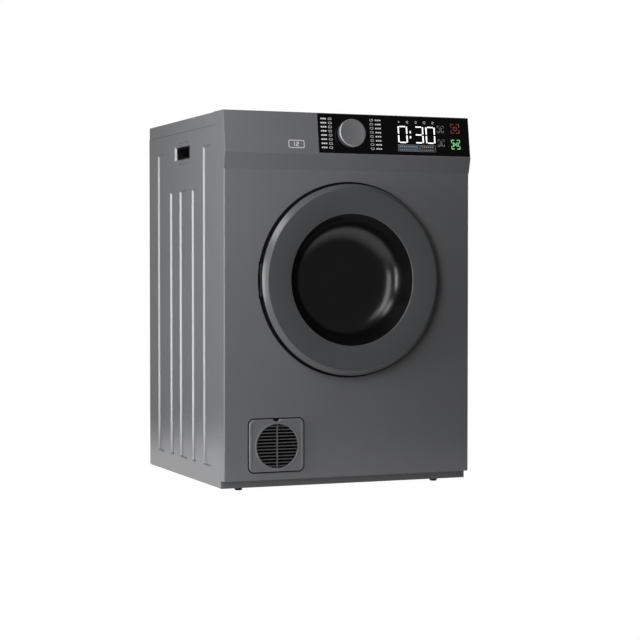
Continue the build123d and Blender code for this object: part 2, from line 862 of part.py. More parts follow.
with BuildPart() as control_fascia:
    with BuildSketch(Plane.YZ):
        Polygon(*cheek_outline, align=None)
    extrude(amount=half_width, both=True)
    fillet(control_fascia.faces().filter_by(fascia_face).edges(), fascia_edge)
    with BuildSketch(Plane.YZ):
        Polygon(*hollow_outline, align=None)
        offset(amount=-fascia_wall, kind=Kind.INTERSECTION, mode=Mode.REPLACE)
    extrude(amount=half_width - fascia_wall, both=True, mode=Mode.SUBTRACT)
    with BuildSketch(fascia_face):
        with Locations(glass_spot):
            Rectangle(glass_width, glass_height)
    extrude(amount=-glass_thick, mode=Mode.SUBTRACT)
    with BuildSketch(fascia_face):
        with Locations(knob_spot):
            Circle(encoder_bush_radius + slip)
        with Locations(display_spot):
            Rectangle(display_width, display_height)
    extrude(amount=-fascia_wall - over, mode=Mode.SUBTRACT)
    with BuildSketch(fascia_face.offset(-fascia_wall)):
        with Locations(*panel_posts):
            Circle(panel_post_radius)
    extrude(amount=-panel_board_gap)
control_fascia.part.label = "control_fascia"
export_step(control_fascia.part, "parts/control_fascia.step")

with BuildPart() as control_glass:
    with BuildSketch(fascia_face):
        with Locations(glass_spot):
            Rectangle(glass_width - 2 * slip, glass_height - 2 * slip)
        with Locations(knob_spot):
            Circle(encoder_bush_radius + slip, mode=Mode.SUBTRACT)
    extrude(amount=-glass_thick)
control_glass.part.label = "control_glass"
export_step(control_glass.part, "parts/control_glass.step")

# Display board on posts behind the fascia, with the lamp block and the rotary encoder on it
panel_board_face = fascia_face.offset(-fascia_wall - panel_board_gap)
encoder_face = fascia_face.offset(-fascia_wall - encoder_play)
bush_length = panel_board_gap + fascia_wall - encoder_bush_set
with BuildPart() as display_board:
    with BuildSketch(panel_board_face):
        with Locations(panel_board_spot):
            Rectangle(panel_board_length, panel_board_height)
    extrude(amount=-board_thick)
    with BuildSketch(panel_board_face):
        with Locations(display_spot):
            Rectangle(display_width - 2 * display_play, display_height - 2 * display_play)
    extrude(amount=panel_board_gap)
    with BuildSketch(panel_board_face):
        with Locations(knob_spot):
            Rectangle(encoder_size, encoder_size)
    extrude(amount=panel_board_gap - encoder_play)
    with BuildSketch(panel_board_face):
        with Locations(knob_spot):
            Circle(encoder_bush_radius)
    extrude(amount=bush_length)
    with BuildSketch(encoder_face):
        with Locations(knob_spot):
            Circle(encoder_shaft_radius + shaft_gap)
    extrude(amount=bush_length, mode=Mode.SUBTRACT)
display_board.part.label = "display_board"
export_step(display_board.part, "parts/display_board.step")

# Knob: moulded base with its shaft, and a metal cap, both turned about the normal of the face
knob_origin = fascia_face.from_local_coords(Vector(*knob_spot, 0))
knob_axis = Axis(knob_origin, fascia_face.z_dir)
knob_section = Plane(origin=knob_origin, x_dir=(1, 0, 0), z_dir=(0, -sin(fascia_lean), -cos(fascia_lean)))
shaft_foot = turn_gap - fascia_wall - encoder_play
core_radius = cap_radius - cap_thick
core_length = knob_length - cap_thick
hollow_radius = core_radius - knob_wall
hollow_length = knob_length - knob_crown
core_top = [
    (core_radius, knob_base_length),
    (core_radius, core_length - cap_thick),
    (core_radius - cap_thick, core_length),
    (0, core_length),
]
base_outline = [
    (0, shaft_foot),
    (encoder_shaft_radius, shaft_foot),
    (encoder_shaft_radius, knob_face_gap),
    (knob_hub_radius, knob_face_gap),
    (knob_hub_radius, hollow_length),
    (hollow_radius, hollow_length),
    (hollow_radius, knob_face_gap),
    (knob_radius, knob_face_gap),
    (knob_radius, knob_base_length - knob_base_edge),
    (knob_radius - knob_base_edge, knob_base_length),
] + core_top
cap_outline = [
    (0, knob_length),
    (cap_radius - cap_edge, knob_length),
    (cap_radius, knob_length - cap_edge),
    (cap_radius, knob_base_length),
] + core_top
with BuildPart() as knob_base:
    with BuildSketch(knob_section):
        Polygon(*base_outline, align=None)
    revolve(axis=knob_axis)
knob_base.part.label = "knob_base"
export_step(knob_base.part, "parts/knob_base.step")

with BuildPart() as knob_cap:
    with BuildSketch(knob_section):
        Polygon(*cap_outline, align=None)
    revolve(axis=knob_axis)
knob_cap.part.label = "knob_cap"
export_step(knob_cap.part, "parts/knob_cap.step")

# Door ring frame: dished annular face, wide bevel, side wall, and a rib behind the eye that backs the glass
face_radius = door_radius - door_bevel_width
bevel_end = door_bevel_depth - door_proud
eye_depth = door_eye_depth - door_proud
eye_front = door_dish - door_proud
liner_front = -door_gap - door_wall
frame_outline = [
    (eye_depth, door_eye_radius),
    (eye_front + door_eye_edge, door_eye_radius),
    (eye_front, door_eye_radius + door_eye_edge),
    (-door_proud, face_radius),
    (bevel_end, door_radius),
    (-door_gap - door_back_edge, door_radius),
    (-door_gap, door_radius - door_back_edge),
    (-door_gap, liner_radius),
    (liner_front, liner_radius),
    (bevel_end + door_wall / 2, door_radius - door_wall),
    (door_wall - door_proud, face_radius - door_wall / 2),
    (door_wall + eye_front, door_eye_radius + door_eye_rib),
    (eye_depth, door_eye_radius + door_eye_rib),
]
hinge_y = at(-hinge_proud)
pocket_xs = (-door_radius - over, -liner_radius - shaft_gap)
pocket_ys = (at(bevel_end + door_gap), at(0))
with BuildPart() as door_frame:
    with BuildSketch(Plane.YZ):
        Polygon(*turned(frame_outline), align=None)
    revolve(axis=door_axis)
    post(hinge_x, hinge_y, hinge_window_zs, hinge_pocket_radius, Mode.SUBTRACT)
    block(pocket_xs, pocket_ys, hinge_window_zs, Mode.SUBTRACT)
door_frame.part.label = "door_frame"
export_step(door_frame.part, "parts/door_frame.step")

# Door glass: a deep bowl whose brim lies behind the eye of the frame
bowl_mouth_radius = door_eye_radius - bowl_play
bowl_neck_radius = bowl_mouth_radius + bowl_thick
bowl_floor_radius = door_eye_radius - bowl_taper
bowl_back = bowl_depth + bowl_thick
brim_radius = door_eye_radius + bowl_brim_width
brim_back = eye_depth + bowl_brim_thick
inside = turned([(eye_depth, bowl_mouth_radius), (bowl_depth, bowl_floor_radius), (bowl_depth, 0)])
outside = turned([(brim_back, bowl_neck_radius), (bowl_back, bowl_floor_radius + bowl_thick), (bowl_back, 0)])
brim = turned([(brim_back, brim_radius), (eye_depth, brim_radius)])
with BuildPart() as door_glass:
    with BuildSketch(Plane.YZ):
        with BuildLine():
            FilletPolyline(*inside, radius=bowl_round)
            FilletPolyline(*outside, radius=bowl_round + bowl_thick)
            Line(inside[-1], outside[-1])
            Polyline(outside[0], *brim, inside[0])
        make_face()
    revolve(axis=door_axis)
door_glass.part.label = "door_glass"
export_step(door_glass.part, "parts/door_glass.step")

# Door liner: closes the back of the frame, clamps the glass and carries the seal
liner_neck = throat_radius - liner_play
liner_floor_outer = liner_neck - liner_taper
liner_floor_inner = liner_floor_outer - liner_floor_width
liner_seat = bowl_neck_radius + liner_seat_play
liner_floor_front = liner_depth - door_wall
liner_outline = [
    (-door_gap, liner_radius),
    (-door_gap, liner_neck),
    (liner_depth, liner_floor_outer),
    (liner_depth, liner_floor_inner),
    (brim_back, liner_seat),
    (brim_back, liner_seat + liner_seat_width),
    (liner_floor_front, liner_floor_inner + door_wall),
    (liner_floor_front, liner_floor_outer - door_wall),
    (liner_front, liner_neck - door_wall),
    (liner_front, liner_radius),
]
with BuildPart() as door_liner:
    with BuildSketch(Plane.YZ):
        Polygon(*turned(liner_outline), align=None)
    revolve(axis=door_axis)
    post(hinge_x, hinge_y, hinge_window_zs, hinge_pocket_radius, Mode.SUBTRACT)
door_liner.part.label = "door_liner"
export_step(door_liner.part, "parts/door_liner.step")

seal_depths = (-door_gap, -turn_gap)
seal_radius = throat_radius + seal_set
with BuildPart() as door_seal:
    rod(0, door_z, seal_depths, seal_radius + seal_width)
    rod(0, door_z, seal_depths, seal_radius, Mode.SUBTRACT)
door_seal.part.label = "door_seal"
export_step(door_seal.part, "parts/door_seal.step")

# Door screws: pan heads with a recess, round the floor of the liner
screw_ring = (liner_floor_outer + liner_floor_inner) / 2
door_screw_back = liner_depth + door_screw_rise
door_recess = (door_screw_back - door_screw_recess_depth, door_screw_back + over)
with BuildPart() as door_screws:
    for number in range(door_screws_round):
        angle = 2 * pi * (number + 0.5) / door_screws_round
        screw_x = screw_ring * cos(angle)
        screw_z = door_z + screw_ring * sin(angle)
        rod(screw_x, screw_z, (liner_depth, door_screw_back), door_screw_radius)
        rod(screw_x, screw_z, door_recess, door_screw_recess_radius, Mode.SUBTRACT)
door_screws.part.label = "door_screws"
export_step(door_screws.part, "parts/door_screws.step")

# Hinge: leaf with the middle knuckle on the door, bracket with the outer knuckles and the pin on the cabinet
knuckle_zs = about(door_z, knuckle_height)
leaf_ys = (at(liner_front - leaf_thick), at(liner_front))
pin_zs = about(door_z, hinge_height)
with BuildPart() as hinge_leaf:
    post(hinge_x, hinge_y, knuckle_zs, hinge_barrel_radius)
    block((hinge_x, hinge_x + leaf_length), leaf_ys, knuckle_zs)
    post(hinge_x, hinge_y, pin_zs, hinge_pin_radius + shaft_gap, Mode.SUBTRACT)
hinge_leaf.part.label = "hinge_leaf"
export_step(hinge_leaf.part, "parts/hinge_leaf.step")

plate_xs = (hinge_x - hinge_plate_outer, hinge_x + hinge_plate_inner)
plate_ys = (at(sheet), at(sheet + hinge_plate_thick))
with BuildPart() as hinge_bracket:
    block(plate_xs, plate_ys, about(door_z, hinge_plate_height))
    for up in (-1, 1):
        arm_zs = (door_z + up * (knuckle_height / 2 + turn_gap), door_z + up * hinge_height / 2)
        post(hinge_x, hinge_y, arm_zs, hinge_barrel_radius)
        block(about(hinge_x, hinge_arm_width), (hinge_y, plate_ys[1]), arm_zs)
    post(hinge_x, hinge_y, pin_zs, hinge_pin_radius)
hinge_bracket.part.label = "hinge_bracket"
export_step(hinge_bracket.part, "parts/hinge_bracket.step")

# Door strike, a tongue with an eye on the liner, and the latch that takes it behind the front panel
eye_back = strike_depth - strike_hole_set
strike_eye_ys = (at(eye_back - strike_hole_length), at(eye_back))
with BuildPart() as door_strike:
    block(strike_xs, (at(-door_gap), at(strike_depth)), about(door_z, strike_height))
    block(strike_xs, strike_eye_ys, about(door_z, strike_hole_height), Mode.SUBTRACT)
door_strike.part.label = "door_strike"
export_step(door_strike.part, "parts/door_strike.step")

latch_xs = (latch_window_xs[0] - latch_wall_inner, latch_window_xs[1] + latch_wall_outer)
latch_flange_ys = (at(sheet), at(sheet + latch_flange_thick))
with BuildPart() as door_latch:
    block(latch_xs, (at(sheet), at(latch_depth)), about(door_z, latch_height))
    block(latch_xs, latch_flange_ys, about(door_z, latch_flange_height))
    block(latch_window_xs, (at(0), at(latch_pocket_depth)), latch_window_zs, Mode.SUBTRACT)
door_latch.part.label = "door_latch"
export_step(door_latch.part, "parts/door_latch.step")

# Front bulkhead: plate in front of the drum, ring that holds the felt, and axles for two rollers
roller_reach = drum_radius + roller_radius + turn_gap
roller_x = roller_reach * sin(roller_angle)
roller_z = door_z - roller_reach * cos(roller_angle)
roller_back = roller_front_depth + roller_width
bulkhead_back = bulkhead_depth + bulkhead_thick
felt_end = bulkhead_back + front_felt_length
felt_inner = drum_radius - drum_sheet - felt_thick
throat_hole_radius = throat_radius + throat_flange_set
front_collar = (bulkhead_back, roller_front_depth - turn_gap)
rear_collar = (roller_back + turn_gap, roller_back + axle_collar_length)
with BuildPart() as front_bulkhead:
    plate_zs = about(door_z, 2 * (drum_radius + bulkhead_margin))
    block(about(0, inner_width), (at(bulkhead_depth), at(bulkhead_back)), plate_zs)
    rod(0, door_z, (bulkhead_back, felt_end), felt_inner)
    rod(0, door_z, (bulkhead_back, felt_end), felt_inner - throat_wall, Mode.SUBTRACT)
    rod(0, door_z, (bulkhead_depth, bulkhead_back), throat_hole_radius, Mode.SUBTRACT)
    for x in (-roller_x, roller_x):
        rod(x, roller_z, (bulkhead_back, roller_back + axle_end), axle_radius)
        rod(x, roller_z, front_collar, axle_radius + axle_front_collar)
        rod(x, roller_z, rear_collar, axle_radius + axle_rear_collar)
front_bulkhead.part.label = "front_bulkhead"
export_step(front_bulkhead.part, "parts/front_bulkhead.step")

# Throat ring: the tube that the door closes, flanged behind the bulkhead, with the filter slot and air vents
throat_end = bulkhead_back + throat_wall
filter_foot_z = base_z + filter_foot_height
filter_head_z = door_z - throat_radius / 2
slot_ys = (at(filter_depth - filter_play), at(filter_depth + filter_thick + filter_play))
with BuildPart() as throat_ring:
    rod(0, door_z, (sheet, throat_end), throat_radius + throat_wall)
    rod(0, door_z, (bulkhead_back, throat_end), throat_hole_radius + throat_overlap)
    rod(0, door_z, (sheet, throat_end), throat_radius, Mode.SUBTRACT)
    slot_xs = about(0, filter_width + 2 * filter_play)
    block(slot_xs, slot_ys, (filter_foot_z, filter_head_z), Mode.SUBTRACT)
    for row in range(vent_rows):
        vent_head_z = door_z - throat_radius - vent_set - vent_pitch * row
        vent_zs = (vent_head_z - vent_height, vent_head_z)
        block(about(0, vent_width), (at(bulkhead_back), at(throat_end)), vent_zs, Mode.SUBTRACT)
throat_ring.part.label = "throat_ring"
export_step(throat_ring.part, "parts/throat_ring.step")

with BuildPart() as front_felt:
    rod(0, door_z, (bulkhead_back + felt_set, felt_end), drum_radius - drum_sheet - 2 * turn_gap)
    rod(0, door_z, (bulkhead_back, felt_end), felt_inner, Mode.SUBTRACT)
front_felt.part.label = "front_felt"
export_step(front_felt.part, "parts/front_felt.step")

# Drum shell with rolled beads
bead_radius = drum_radius - bead_height
shell_outline = [(drum_front_depth, drum_radius)]
for number in range(bead_count):
    bead_depth = bead_first_depth + number * bead_pitch
    foot_depths = about(bead_depth, bead_width)
    floor_depths = about(bead_depth, bead_floor)
    shell_outline += [(foot_depths[0], drum_radius), (floor_depths[0], bead_radius)]
    shell_outline += [(floor_depths[1], bead_radius), (foot_depths[1], drum_radius)]
shell_outline.append((drum_rear_depth, drum_radius))
shell_inside = [(depth, radius - drum_sheet) for depth, radius in reversed(shell_outline)]
with BuildPart() as drum_shell:
    with BuildSketch(Plane.YZ):
        Polygon(*turned(shell_outline + shell_inside), align=None)
    revolve(axis=door_axis)
drum_shell.part.label = "drum_shell"
export_step(drum_shell.part, "parts/drum_shell.step")

# Drum back: a disc with rings of air holes, more of them on each wider ring
back_depth = drum_rear_depth - drum_back_set
air_rings = [
    (hole_ring_radius + number * hole_ring_step, hole_first_count + number * hole_more_count)
    for number in range(hole_rings)
]
with BuildPart() as drum_back:
    with BuildSketch(facing(back_depth)):
        with Locations((0, door_z)):
            Circle(drum_radius - drum_sheet)
            for radius, count in air_rings:
                with PolarLocations(radius, count):
                    Circle(hole_radius, mode=Mode.SUBTRACT)
    extrude(amount=-drum_sheet)
drum_back.part.label = "drum_back"
export_step(drum_back.part, "parts/drum_back.step")

# Lifters: hollow ridges along the inside of the drum, clear of the beads
lifter_length = drum_rear_depth - lifter_rear_set - lifter_front_depth
lifter_reach = bead_radius - drum_sheet
lifter_foot = sqrt(lifter_reach**2 - (lifter_width / 2) ** 2)
lifter_head = lifter_reach - lifter_height
foot_ends = about(0, lifter_width)
head_ends = about(0, lifter_head_width)
foot_core = about(0, lifter_width - 2 * lifter_foot_wall)
head_core = about(0, lifter_head_width - 2 * lifter_head_wall)
core_head = lifter_head + lifter_wall
ridge = [(lifter_foot, foot_ends[0]), (lifter_foot, foot_ends[1])]
ridge += [(lifter_head, head_ends[1]), (lifter_head, head_ends[0])]
ridge_core = [(lifter_foot, foot_core[0]), (lifter_foot, foot_core[1])]
ridge_core += [(core_head, head_core[1]), (core_head, head_core[0])]
with BuildPart() as lifters:
    for number in range(lifter_count):
        turn = pi / 2 + 2 * pi * number / lifter_count
        outward = (cos(turn), 0, sin(turn))
        front_end = Plane(origin=(0, at(lifter_front_depth), door_z), x_dir=outward, z_dir=(0, 1, 0))
        with BuildSketch(front_end) as ridge_sketch:
            Polygon(*ridge, align=None)
            fillet(ridge_sketch.vertices().group_by(SortBy.DISTANCE)[0], lifter_round)
        extrude(amount=lifter_length)
        with BuildSketch(front_end.offset(lifter_wall)) as core_sketch:
            Polygon(*ridge_core, align=None)
            fillet(core_sketch.vertices().group_by(SortBy.DISTANCE)[0], lifter_round - lifter_head_wall)
        extrude(amount=lifter_length - 2 * lifter_wall, mode=Mode.SUBTRACT)
lifters.part.label = "lifters"
export_step(lifters.part, "parts/lifters.step")

# Drum shaft on its hub plate behind the drum
hub_depth = back_depth + drum_sheet
shaft_end = cabinet_depth - drum_shaft_set
with BuildPart() as drum_shaft:
    rod(0, door_z, (hub_depth, hub_depth + hub_thick), hub_radius)
    rod(0, door_z, (hub_depth, shaft_end), drum_shaft_radius)
drum_shaft.part.label = "drum_shaft"
export_step(drum_shaft.part, "parts/drum_shaft.step")

# Rear bulkhead with rings of air holes, rear felt and the bearing for the drum shaft
rear_back = rear_bulkhead_depth + bulkhead_thick
rear_cut = (rear_bulkhead_depth - over, rear_back + over)
with BuildPart() as rear_bulkhead:
    rear_ys = (at(rear_bulkhead_depth), at(rear_back))
    block(about(0, inner_width), rear_ys, (pan_zs[1], skirt_z - rear_bulkhead_drop))
    rod(0, door_z, rear_cut, bearing_radius, Mode.SUBTRACT)
    with BuildSketch(facing(rear_cut[0])):
        with Locations((0, door_z)):
            for radius, count in air_rings:
                with PolarLocations(radius, count):
                    Circle(hole_radius)
    extrude(amount=rear_cut[0] - rear_cut[1], mode=Mode.SUBTRACT)
rear_bulkhead.part.label = "rear_bulkhead"
export_step(rear_bulkhead.part, "parts/rear_bulkhead.step")

rear_felt_depths = (drum_rear_depth + 2 * turn_gap, rear_bulkhead_depth)
rear_felt_radius = drum_radius - rear_felt_inset
with BuildPart() as rear_felt:
    rod(0, door_z, rear_felt_depths, rear_felt_radius)
    rod(0, door_z, rear_felt_depths, rear_felt_radius - rear_felt_width, Mode.SUBTRACT)
rear_felt.part.label = "rear_felt"
export_step(rear_felt.part, "parts/rear_felt.step")

bearing_front = rear_bulkhead_depth - bearing_front_set
with BuildPart() as rear_bearing:
    rod(0, door_z, (bearing_front, shaft_end - bearing_rear_set), bearing_radius)
    rod(0, door_z, (rear_back, rear_back + bearing_flange_thick), bearing_flange_radius)
    rod(0, door_z, (bearing_front - over, shaft_end), drum_shaft_radius + shaft_gap, Mode.SUBTRACT)
rear_bearing.part.label = "rear_bearing"
export_step(rear_bearing.part, "parts/rear_bearing.step")

# Rear air duct: a round pan behind the bulkhead with a neck down to the heater
duct_back = cabinet_depth - air_duct_set
duct_inside = duct_back - air_duct_wall
neck_foot_z = base_z + neck_foot_height
neck_head_z = door_z - neck_head_set
neck_inner = neck_width - 2 * air_duct_wall
with BuildPart() as rear_air_duct:
    rod(0, door_z, (rear_back, duct_back), air_duct_radius)
    block(about(0, neck_width), (at(rear_back), at(duct_back)), (neck_foot_z, neck_head_z))
    rod(0, door_z, (rear_back, duct_inside), air_duct_radius - air_duct_wall, Mode.SUBTRACT)
    neck_inner_zs = (neck_foot_z + air_duct_wall, neck_head_z)
    block(about(0, neck_inner), (at(rear_back), at(duct_inside)), neck_inner_zs, Mode.SUBTRACT)
    window_ys = (at(duct_inside - over), at(duct_back + over))
    block(about(0, intake_length), window_ys, about(intake_z, air_duct_window_height), Mode.SUBTRACT)
rear_air_duct.part.label = "rear_air_duct"
export_step(rear_air_duct.part, "parts/rear_air_duct.step")

# Heater: a finned block between two end plates in the neck
heater_foot_z = base_z + heater_foot_height
heater_zs = (heater_foot_z, heater_foot_z + heater_height)
heater_ys = (at(rear_back + heater_front_set), at(duct_back - heater_rear_set))
bar_ys = (heater_ys[0] + heater_bar_set, heater_ys[1] - heater_bar_set)
fin_ys = (heater_ys[0] + fin_set, heater_ys[1] - fin_set)
with BuildPart() as heater:
    for side in (-1, 1):
        end_xs = (side * neck_inner / 2, side * (neck_inner / 2 - heater_end_thick))
        block(end_xs, heater_ys, heater_zs)
    for row in range(heater_bars):
        bar_z = heater_foot_z + heater_bar_first + heater_bar_pitch * row
        block(about(0, neck_inner), bar_ys, about(bar_z, heater_bar_height))
    for number in range(heater_fins):
        fin_x = (number - (heater_fins - 1) / 2) * fin_pitch
        block(about(fin_x, fin_thick), fin_ys, heater_zs)
heater.part.label = "heater"
export_step(heater.part, "parts/heater.step")

# Front drum rollers, on the axles of the front bulkhead
recess_depths = (roller_front_depth, roller_front_depth + roller_recess)
for x, hand in ((-roller_x, "left"), (roller_x, "right")):
    with BuildPart() as drum_roller:
        rod(x, roller_z, (roller_front_depth, roller_back), roller_radius)
        rod(x, roller_z, recess_depths, roller_radius - roller_rim, Mode.SUBTRACT)
        rod(x, roller_z, recess_depths, axle_radius + roller_hub_wall)
        rod(x, roller_z, (roller_front_depth, roller_back), axle_radius + shaft_gap, Mode.SUBTRACT)
    drum_roller.part.label = "drum_roller_" + hand
    export_step(drum_roller.part, "parts/drum_roller_" + hand + ".step")

# Motor: case with end bosses, and rotor with a through shaft
motor_rear_depth = motor_front_depth + motor_length
boss_depths = (motor_front_depth - motor_boss_length, motor_rear_depth + motor_boss_length)
case_inside = (motor_front_depth + motor_end_wall, motor_rear_depth - motor_end_wall)
with BuildPart() as motor_case:
    rod(motor_x, motor_z, (motor_front_depth, motor_rear_depth), motor_radius)
    fillet(motor_case.edges().filter_by(GeomType.CIRCLE), motor_edge)
    rod(motor_x, motor_z, boss_depths, motor_boss_radius)
    rod(motor_x, motor_z, case_inside, motor_radius - motor_wall, Mode.SUBTRACT)
    rod(motor_x, motor_z, boss_depths, motor_shaft_radius + shaft_gap, Mode.SUBTRACT)
motor_case.part.label = "motor_case"
export_step(motor_case.part, "parts/motor_case.step")

shaft_depths = (scroll_front_depth + motor_shaft_set, belt_depth + belt_width)
rotor_depths = (motor_front_depth + rotor_end_set, motor_rear_depth - rotor_end_set)
with BuildPart() as motor_rotor:
    rod(motor_x, motor_z, shaft_depths, motor_shaft_radius)
    rod(motor_x, motor_z, rotor_depths, motor_radius - rotor_inset)
motor_rotor.part.label = "motor_rotor"
export_step(motor_rotor.part, "parts/motor_rotor.step")

pulley_depths = about(belt_depth, 2 * belt_width)
with BuildPart() as motor_pulley:
    rod(motor_x, motor_z, pulley_depths, pulley_radius)
    for end, inward in zip(pulley_depths, (pulley_flange_thick, -pulley_flange_thick)):
        rod(motor_x, motor_z, (end, end + inward), pulley_radius + pulley_flange)
    rod(motor_x, motor_z, pulley_depths, motor_shaft_radius, Mode.SUBTRACT)
motor_pulley.part.label = "motor_pulley"
export_step(motor_pulley.part, "parts/motor_pulley.step")

# Motor bracket: floor plate, two cradles under the bosses, and the post with the pin for the idler arm
idler_z = base_z + idler_height
idler_pivot_z = base_z + idler_pivot_height
bracket_z = pan_z + pan_wall
bracket_head_z = bracket_z + cradle_thick
front_cradle = boss_depths[0] + cradle_set
rear_cradle = boss_depths[1] - cradle_set - cradle_thick
arm_front = belt_depth - arm_set
arm_back = arm_front + arm_thick
post_back = arm_front - pivot_post_gap
bracket_xs = (idler_pivot_x - bracket_idler_margin, motor_x + bracket_motor_margin)
bracket_ys = (at(front_cradle - bracket_front_margin), at(belt_depth + bracket_rear_margin))
cradle_zs = (bracket_z, motor_z + motor_boss_radius + cradle_rise)
pivot_post_zs = (bracket_z, idler_pivot_z + pivot_post_rise)
pin_end = arm_back + pivot_cap_length + over
with BuildPart() as motor_bracket:
    block(bracket_xs, bracket_ys, (bracket_z, bracket_head_z))
    for depth in (front_cradle, rear_cradle):
        block(about(motor_x, cradle_width), (at(depth), at(depth + cradle_thick)), cradle_zs)
    rod(motor_x, motor_z, boss_depths, motor_boss_radius, Mode.SUBTRACT)
    pivot_post_ys = (at(post_back - pivot_post_thick), at(post_back))
    block(about(idler_pivot_x, pivot_post_width), pivot_post_ys, pivot_post_zs)
    rod(idler_pivot_x, idler_pivot_z, (post_back, pin_end), idler_pin_radius)
    rod(idler_pivot_x, idler_pivot_z, (post_back, arm_front - turn_gap), idler_pin_radius + pivot_collar)
    cap_depths = (arm_back + turn_gap, arm_back + pivot_cap_length)
    rod(idler_pivot_x, idler_pivot_z, cap_depths, idler_pin_radius + pivot_cap)
motor_bracket.part.label = "motor_bracket"
export_step(motor_bracket.part, "parts/motor_bracket.step")

# Idler arm on its pivot, with the pin of the wheel and a pad on the spring
arm_run = (idler_x - idler_pivot_x, idler_z - idler_pivot_z)
arm_middle = ((idler_x + idler_pivot_x) / 2, (idler_z + idler_pivot_z) / 2)
idler_depths = about(belt_depth, idler_width)
spring_x = idler_pivot_x + spring_set
spring_y = at((arm_front + arm_back) / 2)
spring_top_z = idler_pivot_z + spring_rise
pad_xs = about(spring_x, spring_pad_width)
with BuildPart() as idler_arm:
    with BuildSketch(facing(arm_front)):
        with Locations(arm_middle):
            SlotCenterToCenter(hypot(*arm_run), arm_width, rotation=degrees(atan2(arm_run[1], arm_run[0])))
    extrude(amount=-arm_thick)
    rod(idler_x, idler_z, (arm_back, idler_depths[1] + idler_pin_end), idler_pin_radius)
    block(pad_xs, about(spring_y, spring_pad_width), (spring_top_z, spring_top_z + spring_pad_thick))
    block(pad_xs, (at(arm_front), at(arm_back)), (spring_top_z, idler_pivot_z + arm_tab_rise))
    rod(idler_pivot_x, idler_pivot_z, (arm_front, arm_back), idler_pin_radius + shaft_gap, Mode.SUBTRACT)
idler_arm.part.label = "idler_arm"
export_step(idler_arm.part, "parts/idler_arm.step")

with BuildPart() as idler_wheel:
    rod(idler_x, idler_z, idler_depths, idler_radius)
    rod(idler_x, idler_z, idler_depths, idler_pin_radius + shaft_gap, Mode.SUBTRACT)
idler_wheel.part.label = "idler_wheel"
export_step(idler_wheel.part, "parts/idler_wheel.step")

# Idler spring: a coil between the bracket's floor and the pad of the arm
spring_height = spring_top_z - bracket_head_z - 2 * spring_wire
spring_foot = (spring_x, spring_y, bracket_head_z + spring_wire)
with BuildPart() as idler_spring:
    with BuildLine():
        coil = Helix(spring_height / spring_turns, spring_height, spring_radius, spring_foot)
    with BuildSketch(Plane(origin=coil @ 0, z_dir=coil % 0)):
        Circle(spring_wire)
    sweep()
idler_spring.part.label = "idler_spring"
export_step(idler_spring.part, "parts/idler_spring.step")

# Drive belt: round the drum and the motor pulley, pressed in from outside by the idler wheel
belt_stops = (
    (0, door_z, drum_radius + turn_gap),
    (idler_x, idler_z, -(idler_radius + turn_gap + belt_thick)),
    (motor_x, motor_z, pulley_radius + turn_gap),
)


def belt_run(reach):
    """Arc start, middle and end on each wheel and the start of the next arc, with wheels grown by reach.

    The belt runs anticlockwise, and a wheel that it passes clockwise has a negative radius.
    A straight run leaves at the angle of the centre line less asin of the radius change over the distance.
    """
    spots = []
    count = len(belt_stops)
    for here in range(count):
        x0, z0, r0 = belt_stops[here]
        x1, z1, r1 = belt_stops[(here + 1) % count]
        way = atan2(z1 - z0, x1 - x0) - asin((r1 - r0) / hypot(x1 - x0, z1 - z0))
        leave = (x0 + (r0 + reach) * sin(way), z0 - (r0 + reach) * cos(way))
        reached = (x1 + (r1 + reach) * sin(way), z1 - (r1 + reach) * cos(way))
        spots.append((leave, reached))
    run = []
    for here in range(count):
        x, z, radius = belt_stops[here]
        start = spots[here - 1][1]
        end, onward = spots[here]
        first = atan2(start[1] - z, start[0] - x)
        last = atan2(end[1] - z, end[0] - x)
        arc = (last - first) % (2 * pi) if radius > 0 else -((first - last) % (2 * pi))
        half = first + arc / 2
        size = abs(radius + reach)
        run.append((start, (x + size * cos(half), z + size * sin(half)), end, onward))
    return run


with BuildPart() as drive_belt:
    with BuildSketch(facing(belt_depth - belt_width / 2)):
        for reach, loop in ((belt_thick, Mode.ADD), (0.0, Mode.SUBTRACT)):
            with BuildLine():
                for start, middle, end, onward in belt_run(reach):
                    ThreePointArc(start, middle, end)
                    Line(end, onward)
            make_face(mode=loop)
    extrude(amount=-belt_width)
drive_belt.part.label = "drive_belt"
export_step(drive_belt.part, "parts/drive_belt.step")

# Blower housing: a scroll with an outlet to the left, on two legs
scroll_rear_depth = scroll_front_depth + scroll_length
scroll_back_inside = scroll_rear_depth - scroll_wall
outlet_x = motor_x - scroll_radius - outlet_reach
outlet_zs = (motor_z + outlet_lift, motor_z + scroll_radius)
outlet_middle = ((outlet_x + motor_x) / 2, sum(outlet_zs) / 2)
outlet_height = outlet_zs[1] - outlet_zs[0]
inlet_depths = (scroll_front_depth, scroll_front_depth + scroll_wall)
shaft_hole_radius = motor_shaft_radius + scroll_shaft_play
leg_ys = (at(scroll_rear_depth - blower_leg_length), at(scroll_rear_depth))
with BuildPart() as blower_housing:
    with BuildSketch(facing(scroll_front_depth)):
        with Locations((motor_x, motor_z)):
            Circle(scroll_radius)
        with Locations(outlet_middle):
            Rectangle(motor_x - outlet_x, outlet_height)
    extrude(amount=-scroll_length)
    with BuildSketch(facing(scroll_front_depth + scroll_wall)):
        with Locations((motor_x, motor_z)):
            Circle(scroll_radius - scroll_wall)
        with Locations(outlet_middle):
            Rectangle(motor_x - outlet_x, outlet_height - 2 * scroll_wall)
    extrude(amount=2 * scroll_wall - scroll_length, mode=Mode.SUBTRACT)
    rod(motor_x, motor_z, inlet_depths, scroll_inlet_radius, Mode.SUBTRACT)
    rod(motor_x, motor_z, (scroll_back_inside, scroll_rear_depth), shaft_hole_radius, Mode.SUBTRACT)
    for side in (-1, 1):
        leg_xs = about(motor_x + side * blower_leg_set, blower_leg_width)
        block(leg_xs, leg_ys, (bracket_z, motor_z - blower_leg_drop))
blower_housing.part.label = "blower_housing"
